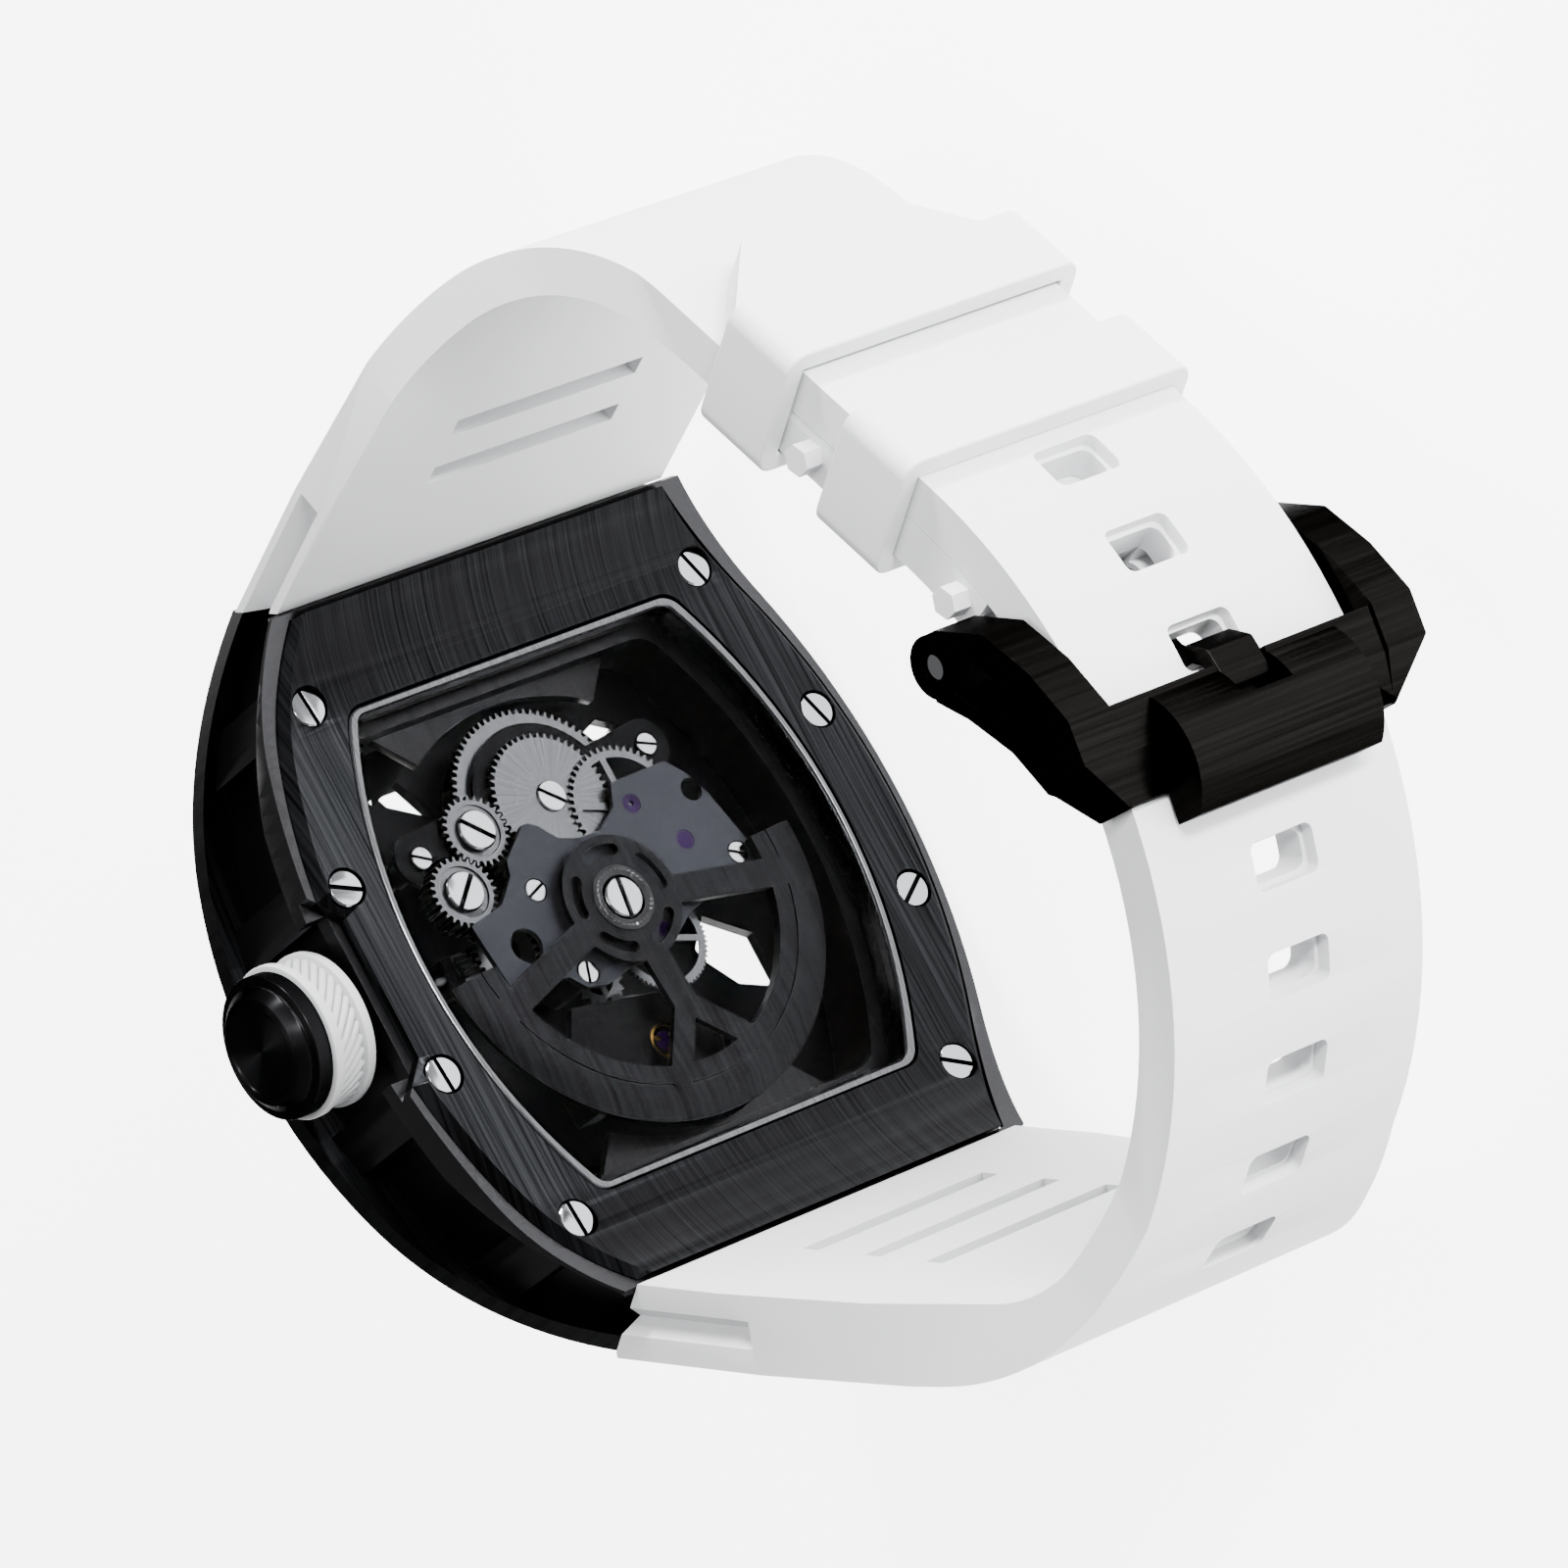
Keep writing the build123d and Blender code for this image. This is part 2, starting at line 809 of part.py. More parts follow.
with BuildPart() as back_crystal:
    with BuildSketch(level(0)):
        add(
            tonneau(
                window_half_length - running_gap,
                window_mid_half_width - running_gap,
                window_end_half_width - running_gap,
                window_corner,
            )
        )
    extrude(amount=back_crystal_thickness)
write_piece(back_crystal, "back_crystal")


# Caseband, bezel and their seals


def end_face_point(y, gap=0.0):
    """The point of the case's slanted end face at this height, moved out by a gap."""
    x = end_face_top[0] + (end_face_top[1] - y) * tan(radians(end_face_tilt))
    return (x + gap / cos(radians(end_face_tilt)), y)


with BuildSketch() as end_limit:
    with BuildLine():
        high = end_face_top[1] + 2 * cut_overrun
        low = -front_depth - cut_overrun
        right_points = [end_face_point(high), end_face_point(low)]
        Polyline(*right_points, *[(-x, y) for x, y in reversed(right_points)], close=True)
    make_face()

case_draw_length = case_half_length + cut_overrun
with BuildSketch() as band_side_view:
    with BuildLine():
        back_curve(flange_drop, end_face_top[0] + cut_overrun)
        front_curve(bezel_thickness, case_draw_length)
        for side in (-1, 1):
            Line(
                back_point(side * (end_face_top[0] + cut_overrun), flange_drop),
                front_end(side, case_draw_length, bezel_thickness),
            )
    make_face()
    add(end_limit.sketch, mode=Mode.INTERSECT)

flange_edge_points = [
    (share * back_half_length, back_point(share * back_half_length, 0)[1] - drop)
    for share, drop in zip(flange_edge_shares, flange_edge_drops)
]
with BuildSketch() as flank_view:
    with BuildLine():
        right_edge = flange_edge_points
        left_edge = [(-x, y) for x, y in reversed(flange_edge_points)]
        ThreePointArc(*left_edge)
        Line(left_edge[2], right_edge[0])
        ThreePointArc(*right_edge)
        front_curve(bezel_thickness, case_draw_length)
        for side in (-1, 1):
            Line(
                (side * flange_edge_points[2][0], flange_edge_points[2][1]),
                front_end(side, case_draw_length, bezel_thickness),
            )
    make_face()

case_plan = tonneau(case_half_length, case_mid_half_width, case_end_half_width)
cavity_plan = tonneau(cavity_half_length, cavity_mid_half_width, cavity_end_half_width, cavity_corner)


def inset_plan(inset):
    """The case outline moved in by this much at the sides only."""
    return tonneau(case_half_length + cut_overrun, case_mid_half_width - inset, case_end_half_width - inset)


with BuildSketch() as flank_cut_plan:
    Rectangle(2 * case_draw_length, 2 * (case_mid_half_width + cut_overrun))
    add(inset_plan(pocket_inset), mode=Mode.SUBTRACT)
    with BuildSketch(mode=Mode.PRIVATE) as blocks:
        for inner, outer in block_edges:
            with Locations(((inner + outer) / 2, 0), (-(inner + outer) / 2, 0)):
                Rectangle(outer - inner, 2 * case_mid_half_width)
        add(inset_plan(block_inset), mode=Mode.INTERSECT)
    add(blocks.sketch, mode=Mode.SUBTRACT)

back_seat_plan = tonneau(back_half_length + slip, back_mid_half_width + slip, back_end_half_width + slip)
with BuildSketch() as back_seat_view:
    with BuildLine():
        back_curve(back_thickness, back_half_length + slip)
        back_curve(-cut_overrun, back_half_length + slip)
        for side in (-1, 1):
            Line(
                back_point(side * (back_half_length + slip), back_thickness),
                back_point(side * (back_half_length + slip), -cut_overrun),
            )
    make_face()

with BuildSketch() as back_gasket_view:
    with BuildLine():
        back_curve(back_thickness, cavity_half_length + cut_overrun)
        back_curve(back_thickness + gasket_depth, cavity_half_length + cut_overrun)
        for side in (-1, 1):
            Line(
                back_point(side * (cavity_half_length + cut_overrun), back_thickness),
                back_point(side * (cavity_half_length + cut_overrun), back_thickness + gasket_depth),
            )
    make_face()


def cavity_offset(inner_gap, outer_gap):
    """The plan ring between two offsets of the cavity's outline."""
    outlines = [
        tonneau(
            cavity_half_length + gap, cavity_mid_half_width + gap, cavity_end_half_width + gap, cavity_corner
        )
        for gap in (outer_gap, inner_gap)
    ]
    return tonneau_ring(*outlines)


gasket_ring_plan = cavity_offset(gasket_offset, gasket_offset + gasket_width)
flank_cut = arched_plate(flank_view.sketch, flank_cut_plan.sketch)
back_seat_cut = arched_plate(back_seat_view.sketch, back_seat_plan)
gasket_groove = arched_plate(back_gasket_view.sketch, gasket_ring_plan)


def bezel_screw_plane(place):
    """The plane of a bezel screw's sink, looking into the watch square to the front."""
    slope = radians(front_slope(place[0]))
    inward = (-sin(slope), cos(slope), 0)
    x, y = front_point(place[0], screw_sink)
    return Plane(origin=(x, y, place[1]), x_dir=(0, 0, 1), z_dir=inward)


lug_centre = end_face_point(end_face_top[1] - lug_drop)
lug_inward = (-cos(radians(end_face_tilt)), -sin(radians(end_face_tilt)))
lug_bar_place = (
    lug_centre[0] + lug_bar_inset * lug_inward[0],
    lug_centre[1] + lug_bar_inset * lug_inward[1],
)
lug_tenon_inset = (lug_tenon_length - edge_break) / 2
lug_tenon_place = (
    lug_centre[0] + lug_tenon_inset * lug_inward[0],
    lug_centre[1] + lug_tenon_inset * lug_inward[1],
)


def lug_profile(gap):
    """The side view of a strap end's tenon, or of its pocket with a gap all round."""
    with BuildSketch() as face:
        with Locations(lug_tenon_place):
            Rectangle(
                lug_tenon_length + edge_break + 2 * gap, lug_tenon_thickness + 2 * gap, rotation=end_face_tilt
            )
    return face.sketch


with BuildPart() as case_middle:
    add(arched_plate(band_side_view.sketch, case_plan))
    add(flank_cut, mode=Mode.SUBTRACT)
    add(back_seat_cut, mode=Mode.SUBTRACT)
    add(gasket_groove, mode=Mode.SUBTRACT)
    with BuildSketch(level(-back_curl_radius)):
        add(cavity_plan)
    extrude(amount=2 * back_curl_radius + front_depth, mode=Mode.SUBTRACT)
    # Gap for the crown in the flange and the flank
    with BuildSketch(Plane.XY.offset(case_mid_half_width - crown_gap_inset)):
        with Locations((0, -(stem_depth - crown_gap_half_length))):
            Rectangle(2 * crown_gap_half_length, 4 * crown_gap_half_length)
    extrude(amount=case_mid_half_width, mode=Mode.SUBTRACT)
    with BuildSketch(level(-back_curl_radius)):
        add(notch_outline(back_mid_half_width - notch_depth, cut_overrun))
    extrude(amount=back_curl_radius + back_thickness, mode=Mode.SUBTRACT)
    # Hole for the crown tube
    with BuildSketch(Plane.XY.offset(cavity_mid_half_width - cut_overrun)):
        with Locations((0, -stem_depth)):
            Circle(tube_radius)
    extrude(amount=case_mid_half_width - cavity_mid_half_width, mode=Mode.SUBTRACT)
    # Pockets and holes for the strap ends and their bars
    for turn in (0, 180):
        side_plane = Plane.XY if turn == 0 else Plane.XY.rotated((0, 180, 0))
        with BuildSketch(side_plane):
            add(lug_profile(slip))
        extrude(amount=lug_half_width + slip, both=True, mode=Mode.SUBTRACT)
        with BuildSketch(side_plane):
            with Locations(lug_bar_place):
                Circle(lug_bar_radius)
        extrude(amount=lug_bar_half_length, both=True, mode=Mode.SUBTRACT)
    # Threaded holes of the back and bezel screws
    for place in screw_places:
        top = -back_point(place[0], 0)[1]
        with BuildSketch(level(top)):
            with Locations(place):
                Circle(screw_shank_radius + screw_hole_gap)
        extrude(amount=screw_sink + screw_head_height + screw_shank_length + edge_break, mode=Mode.SUBTRACT)
        with BuildSketch(bezel_screw_plane(place)):
            Circle(screw_shank_radius + screw_hole_gap)
        extrude(amount=screw_head_height + screw_shank_length + edge_break, mode=Mode.SUBTRACT)
write_piece(case_middle, "case_middle")

opening_plan = tonneau(
    opening_half_length, opening_mid_half_width, opening_end_half_width, opening_corner
)
ledge_plan = tonneau(
    opening_half_length - crystal_ledge,
    opening_mid_half_width - crystal_ledge,
    opening_end_half_width - crystal_ledge,
    opening_corner,
)
crystal_plan = tonneau(
    opening_half_length - gasket_width,
    opening_mid_half_width - gasket_width,
    opening_end_half_width - gasket_width,
    opening_corner,
)
crystal_bottom = crystal_thickness - crystal_stand
bezel_view = front_shell(0, bezel_thickness, case_draw_length)
seat_view = front_shell(-cut_overrun, crystal_bottom, opening_half_length + cut_overrun)

with BuildPart() as bezel:
    with BuildSketch(Plane.XY):
        add(bezel_view)
        add(end_limit.sketch, mode=Mode.INTERSECT)
    extrude(amount=case_mid_half_width + cut_overrun, both=True)
    with BuildSketch(level(-case_mid_half_width)):
        add(case_plan)
    extrude(amount=2 * case_mid_half_width, mode=Mode.INTERSECT)
    with BuildSketch(level(0)):
        add(ledge_plan)
    extrude(amount=2 * front_depth, mode=Mode.SUBTRACT)
    add(arched_plate(seat_view, opening_plan), mode=Mode.SUBTRACT)
    for place in screw_places:
        with BuildSketch(bezel_screw_plane(place).offset(screw_head_height)):
            Circle(screw_head_radius + screw_hole_gap)
        extrude(amount=-2 * screw_head_height, mode=Mode.SUBTRACT)
        with BuildSketch(bezel_screw_plane(place)):
            Circle(screw_shank_radius + screw_hole_gap)
        extrude(amount=2 * bezel_thickness, mode=Mode.SUBTRACT)
write_piece(bezel, "bezel")

with BuildPart() as bezel_screws:
    for place, turn in zip(screw_places, front_slot_turns):
        screw = case_screw(turn)
        with Locations(bezel_screw_plane(place).location):
            add(screw)
write_piece(bezel_screws, "bezel_screws")

with BuildPart() as front_crystal:
    add(arched_plate(front_shell(-crystal_stand, crystal_bottom, opening_half_length), crystal_plan))
write_piece(front_crystal, "front_crystal")

with BuildPart() as front_gasket:
    gasket_view = front_shell(0, crystal_bottom, opening_half_length)
    add(arched_plate(gasket_view, tonneau_ring(opening_plan, crystal_plan)))
write_piece(front_gasket, "front_gasket")

with BuildPart() as back_gasket:
    add(gasket_groove)
write_piece(back_gasket, "back_gasket")


# Strap


def path_places(start, heading, steps, inset, side):
    """The joints of tangent lines and arcs as ((x, y), heading); steps are (length,) or (radius, turn)."""
    turn_now = radians(heading)
    x = start[0] - inset * side * sin(turn_now)
    y = start[1] + inset * side * cos(turn_now)
    places = [((x, y), turn_now)]
    for step in steps:
        if len(step) == 1:
            x, y = (x + step[0] * cos(turn_now), y + step[0] * sin(turn_now))
        else:
            radius = step[0] - inset
            turn_next = turn_now + side * radians(step[1])
            x += radius * side * (sin(turn_next) - sin(turn_now))
            y -= radius * side * (cos(turn_next) - cos(turn_now))
            turn_now = turn_next
        places.append(((x, y), turn_now))
    return places


def walk(start, heading, steps, inset, side):
    """Draws tangent lines and arcs in the open line and returns their end."""
    halves = []
    for step in steps:
        halves += [(step[0] / 2,)] * 2 if len(step) == 1 else [(step[0], step[1] / 2)] * 2
    places = path_places(start, heading, halves, inset, side)
    for number, step in enumerate(steps):
        first, middle, last = (places[2 * number + share][0] for share in (0, 1, 2))
        if len(step) == 1:
            Line(first, last)
        else:
            ThreePointArc(first, middle, last)
    return places[-1][0]


def path_place(start, heading, steps, inset, side, along):
    """The point and heading this far along a path."""
    gone = []
    for step in steps:
        length = step[0] if len(step) == 1 else (step[0] - inset) * radians(step[1])
        if along <= length:
            share = along / length
            gone.append((step[0] * share,) if len(step) == 1 else (step[0], step[1] * share))
            break
        gone.append(step)
        along -= length
    return path_places(start, heading, gone, inset, side)[-1]


def slot_face(place):
    """The side view of a slot sunk in a strap's inner face at a place on its path."""
    (x, y), turn = place
    with BuildSketch() as face:
        with Locations((x, y)):
            Rectangle(slot_width, 2 * slot_depth, rotation=degrees(turn))
    return face.sketch


def join_steps(start, heading, radius, join_radius, end_angle, tail_length):
    """Steps of a line, a tangent join and an arc about the wrist's centre, then a straight tail."""
    turn = radians(heading)
    away = (wrist_arc_centre[0] - start[0], wrist_arc_centre[1] - start[1])
    along = away[0] * cos(turn) + away[1] * sin(turn)
    aside = -away[0] * sin(turn) + away[1] * cos(turn)
    reach = sqrt((radius - join_radius) ** 2 - (aside - join_radius) ** 2)
    line_length = along + reach
    join_x = start[0] + line_length * cos(turn) - join_radius * sin(turn)
    join_y = start[1] + line_length * sin(turn) + join_radius * cos(turn)
    join_angle = degrees(atan2(join_y - wrist_arc_centre[1], join_x - wrist_arc_centre[0]))
    return [
        (line_length,),
        (join_radius, join_angle + 90 - heading),
        (radius, end_angle - join_angle),
        (tail_length,),
    ]


def wrist_point(angle, radius):
    """A point at this angle and distance from the wrist arc's centre."""
    return (
        wrist_arc_centre[0] + radius * cos(radians(angle)),
        wrist_arc_centre[1] + radius * sin(radians(angle)),
    )


def wrist_plane(angle, radius):
    """A plane on the wrist arc that looks outwards, with its local X along the watch's Z."""
    origin = wrist_point(angle, radius)
    outward = (cos(radians(angle)), sin(radians(angle)), 0)
    return Plane(origin=(*origin, 0), x_dir=(0, 0, 1), z_dir=outward)


tail_angle = 90 + tail_slope
tail_start = wrist_point(tail_angle, wrist_arc_radius)
tail_along = (-cos(radians(tail_slope)), -sin(radians(tail_slope)))
tail_outward = (-sin(radians(tail_slope)), cos(radians(tail_slope)))


def tail_point(along, outward):
    """A point of the strap's tail: along it from its start, and out from its outer face."""
    return (
        tail_start[0] + along * tail_along[0] + outward * tail_outward[0],
        tail_start[1] + along * tail_along[1] + outward * tail_outward[1],
    )


with BuildSketch() as strap_clear_of_case:
    with BuildLine():
        high = end_face_top[1] + 2 * strap_case_thickness
        low = -front_depth
        right_points = [end_face_point(high, slip), end_face_point(low, slip)]
        Polyline(*right_points, *[(-x, y) for x, y in reversed(right_points)], close=True)
    make_face()

strap_6_start = end_face_point(end_face_top[1] - strap_6_root_drop, strap_6_root_reach)
strap_12_start = end_face_point(end_face_top[1] - strap_12_root_drop, strap_12_root_reach)
strap_12_start = (-strap_12_start[0], strap_12_start[1])
strap_6_inner_start = (
    strap_6_start[0] - strap_case_thickness * sin(radians(strap_6_heading)),
    strap_6_start[1] + strap_case_thickness * cos(radians(strap_6_heading)),
)
inner_wrist_radius = wrist_arc_radius - strap_thickness
strap_6_outer_steps = join_steps(
    strap_6_start, strap_6_heading, wrist_arc_radius, strap_outer_join, tail_angle, tail_length
)
strap_6_inner_steps = join_steps(
    strap_6_inner_start, strap_6_heading, inner_wrist_radius, strap_inner_join, tail_angle, tail_length
)
with BuildSketch() as strap_6_view:
    with BuildLine():
        outer_end = walk(strap_6_start, strap_6_heading, strap_6_outer_steps, 0, 1)
        inner_end = walk(strap_6_inner_start, strap_6_heading, strap_6_inner_steps, 0, 1)
        Line(outer_end, inner_end)
        Line(strap_6_start, strap_6_inner_start)
    make_face()
    add(strap_clear_of_case.sketch, mode=Mode.SUBTRACT)

strap_12_bends = [
    (strap_12_upper_radius, strap_12_upper_turn),
    (strap_12_bend_radius, strap_12_heading - strap_12_upper_turn - tail_slope),
]
# The straight part ends where the bends bring the strap's outer face under the tail
short_end = path_places(strap_12_start, strap_12_heading, strap_12_bends, 0, -1)[-1][0]
short_way = (short_end[0] - tail_start[0], short_end[1] - tail_start[1])
short_rise = short_way[0] * tail_outward[0] + short_way[1] * tail_outward[1]
root_way = (cos(radians(strap_12_heading)), sin(radians(strap_12_heading)))
rise_share = root_way[0] * tail_outward[0] + root_way[1] * tail_outward[1]
strap_12_line = (-strap_thickness - slip - short_rise) / rise_share
strap_12_steps = [(strap_12_line,), *strap_12_bends]
with BuildSketch() as strap_12_view:
    with BuildLine():
        bend_end = walk(strap_12_start, strap_12_heading, strap_12_steps, 0, -1)
        under_tail = wrist_point(tail_angle, wrist_arc_radius - strap_thickness - slip)
        Line(bend_end, under_tail)
        under_angle = (tail_angle + strap_12_end_angle) / 2
        arc_points = [
            wrist_point(angle, wrist_arc_radius - strap_thickness - slip)
            for angle in (tail_angle, under_angle, strap_12_end_angle)
        ]
        ThreePointArc(*arc_points)
        inner_radius = wrist_arc_radius - 2 * strap_thickness - slip
        inner_arc = [
            wrist_point(angle, inner_radius) for angle in (strap_12_end_angle, under_angle, tail_angle)
        ]
        Line(arc_points[2], inner_arc[0])
        ThreePointArc(*inner_arc)
        inner_bend_end = walk(strap_12_start, strap_12_heading, strap_12_steps, strap_thickness, -1)
        Line(inner_arc[2], inner_bend_end)
        turn = radians(strap_12_heading)
        inner_start = (
            strap_12_start[0] + strap_thickness * sin(turn),
            strap_12_start[1] - strap_thickness * cos(turn),
        )
        Line(strap_12_start, inner_start)
    make_face()
    add(strap_clear_of_case.sketch, mode=Mode.SUBTRACT)
    with Locations(hinge_place):
        Circle(hinge_radius)

strap_top = wrist_arc_centre[1] + wrist_arc_radius + cut_overrun
with BuildSketch() as strap_width_view:
    with BuildLine():
        half = [
            (-front_depth, strap_half_width),
            (strap_full_width_y, strap_half_width),
            *strap_width_points,
            (strap_top, strap_buckle_half_width),
        ]
        Polyline(*half, *[(y, -z) for y, z in reversed(half)], close=True)
    make_face()

strap_reach = wrist_arc_centre[0] + wrist_arc_radius + cut_overrun
groove_plane_6 = Plane(
    origin=(*strap_6_start, 0),
    x_dir=(cos(radians(strap_6_heading)), sin(radians(strap_6_heading)), 0),
    z_dir=(0, 0, 1),
)
groove_plane_12 = Plane(
    origin=(*strap_12_start, 0),
    x_dir=(cos(radians(strap_12_heading)), sin(radians(strap_12_heading)), 0),
    z_dir=(0, 0, 1),
)


def side_groove(plane, middle):
    """A V-shaped groove along both sides of a strap's case end, this far inside its outer face."""
    with BuildPart() as groove:
        for end in (1, -1):
            with BuildSketch(Plane(origin=plane.origin, x_dir=plane.z_dir, z_dir=plane.x_dir)):
                # Local X is the watch's Z here, and local Y runs across the strap's thickness
                with BuildLine():
                    edge = end * (strap_half_width + cut_overrun)
                    tip = end * (strap_half_width - side_groove_depth)
                    half_width = side_groove_half_width * (1 + cut_overrun / side_groove_depth)
                    mouth = [(edge, middle + half_width), (edge, middle - half_width)]
                    Polyline((tip, middle), *mouth, close=True)
                make_face()
        extrude(amount=side_groove_length)
    return groove.part


hole_angles = [first_hole_angle + hole * hole_step for hole in range(hole_count)]

with BuildPart() as strap_6:
    with BuildSketch(Plane.XY):
        add(strap_6_view.sketch)
    extrude(amount=strap_half_width, both=True)
    with BuildSketch(Plane.YZ.offset(-strap_reach)):
        add(strap_width_view.sketch)
    extrude(amount=2 * strap_reach, mode=Mode.INTERSECT)
    for angle in hole_angles:
        with BuildSketch(wrist_plane(angle, wrist_arc_radius + cut_overrun)):
            RectangleRounded(recess_width, recess_length, recess_length * recess_corner_share)
        extrude(amount=-(recess_depth + cut_overrun), mode=Mode.SUBTRACT)
        with BuildSketch(wrist_plane(angle, wrist_arc_radius + cut_overrun)):
            RectangleRounded(hole_width, hole_length, hole_length * hole_corner_share)
        extrude(amount=-(strap_thickness + 2 * cut_overrun), mode=Mode.SUBTRACT)
    # The tail's tip narrows between two bevelled corners
    tip_plane = Plane(
        origin=(*tail_point(tail_length, cut_overrun), 0),
        x_dir=(-tail_along[0], -tail_along[1], 0),
        z_dir=(tail_outward[0], tail_outward[1], 0),
    )
    with BuildSketch(tip_plane):
        for end in (1, -1):
            with BuildLine():
                Polyline(
                    (-cut_overrun, end * tip_half_width),
                    (0, end * tip_half_width),
                    (tip_bevel_length, end * (strap_buckle_half_width + slip)),
                    (tip_bevel_length, end * (strap_buckle_half_width + cut_overrun)),
                    (-cut_overrun, end * (strap_buckle_half_width + cut_overrun)),
                    close=True,
                )
            make_face()
    extrude(amount=-(strap_thickness + 2 * cut_overrun), mode=Mode.SUBTRACT)
    add(side_groove(groove_plane_6, -strap_case_thickness / 2), mode=Mode.SUBTRACT)
    with BuildSketch(Plane.XY):
        for along in strap_6_slots:
            add(slot_face(path_place(strap_6_inner_start, strap_6_heading, strap_6_inner_steps, 0, 1, along)))
    extrude(amount=slot_half_length, both=True, mode=Mode.SUBTRACT)
    with BuildSketch(Plane.XY):
        add(lug_profile(0))
    extrude(amount=lug_half_width, both=True)
    with BuildSketch(Plane.XY):
        with Locations(lug_bar_place):
            Circle(lug_bar_radius)
    extrude(amount=strap_half_width, both=True, mode=Mode.SUBTRACT)
write_piece(strap_6, "strap_6")

with BuildPart() as strap_12:
    with BuildSketch(Plane.XY):
        add(strap_12_view.sketch)
    extrude(amount=strap_half_width, both=True)
    with BuildSketch(Plane.YZ.offset(-strap_reach)):
        add(strap_width_view.sketch)
    extrude(amount=2 * strap_reach, mode=Mode.INTERSECT)
    with BuildSketch(Plane.XY):
        with Locations(hinge_place):
            Circle(pin_radius)
    extrude(amount=strap_half_width, both=True, mode=Mode.SUBTRACT)
    # Slot for the tongue's eye
    with BuildSketch(Plane.XY):
        with Locations((hinge_place[0] + hinge_radius / 2, hinge_place[1])):
            Rectangle(3 * hinge_radius, 3 * hinge_radius)
    extrude(amount=tongue_width / 2 + running_gap, both=True, mode=Mode.SUBTRACT)
    for along, outward in stud_places:
        with BuildSketch(Plane.XY):
            with Locations(tail_point(along, outward)):
                RegularPolygon(stud_radius, stud_sides, rotation=-tail_slope)
        extrude(amount=strap_buckle_half_width + stud_height, both=True)
    add(side_groove(groove_plane_12, strap_thickness / 2), mode=Mode.SUBTRACT)
    with BuildSketch(Plane.XY):
        for along in strap_12_slots:
            place = path_place(strap_12_start, strap_12_heading, strap_12_steps, strap_thickness, -1, along)
            add(slot_face(place))
    extrude(amount=slot_half_length, both=True, mode=Mode.SUBTRACT)
    with BuildSketch(Plane.XY.rotated((0, 180, 0))):
        add(lug_profile(0))
    extrude(amount=lug_half_width, both=True)
    with BuildSketch(Plane.XY.rotated((0, 180, 0))):
        with Locations(lug_bar_place):
            Circle(lug_bar_radius)
    extrude(amount=strap_half_width, both=True, mode=Mode.SUBTRACT)
write_piece(strap_12, "strap_12")

with BuildPart() as strap_bars:
    with BuildSketch(Plane.XY):
        with Locations(lug_bar_place, (-lug_bar_place[0], lug_bar_place[1])):
            Circle(lug_bar_radius)
    extrude(amount=lug_bar_half_length, both=True)
write_piece(strap_bars, "strap_bars")


# Keepers


def keeper(place, gap):
    """A square-shouldered loop round both layers of the tail."""
    stack = 2 * strap_thickness + slip
    with BuildPart() as loop:
        keeper_plane = Plane(
            origin=(*tail_point(place - keeper_length / 2, -stack / 2), 0),
            x_dir=(0, 0, 1),
            z_dir=(tail_along[0], tail_along[1], 0),
        )
        with BuildSketch(keeper_plane):
            RectangleRounded(
                2 * (strap_buckle_half_width + gap + keeper_wall),
                stack + 2 * (gap + keeper_wall),
                keeper_wall,
            )
            Rectangle(2 * (strap_buckle_half_width + gap), stack + 2 * gap, mode=Mode.SUBTRACT)
        extrude(amount=keeper_length)
    return loop.part


with BuildPart() as fixed_keeper:
    add(keeper(fixed_keeper_place, slip))
write_piece(fixed_keeper, "fixed_keeper")

with BuildPart() as free_keeper:
    add(keeper(free_keeper_place, keeper_gap))
write_piece(free_keeper, "free_keeper")


# Buckle

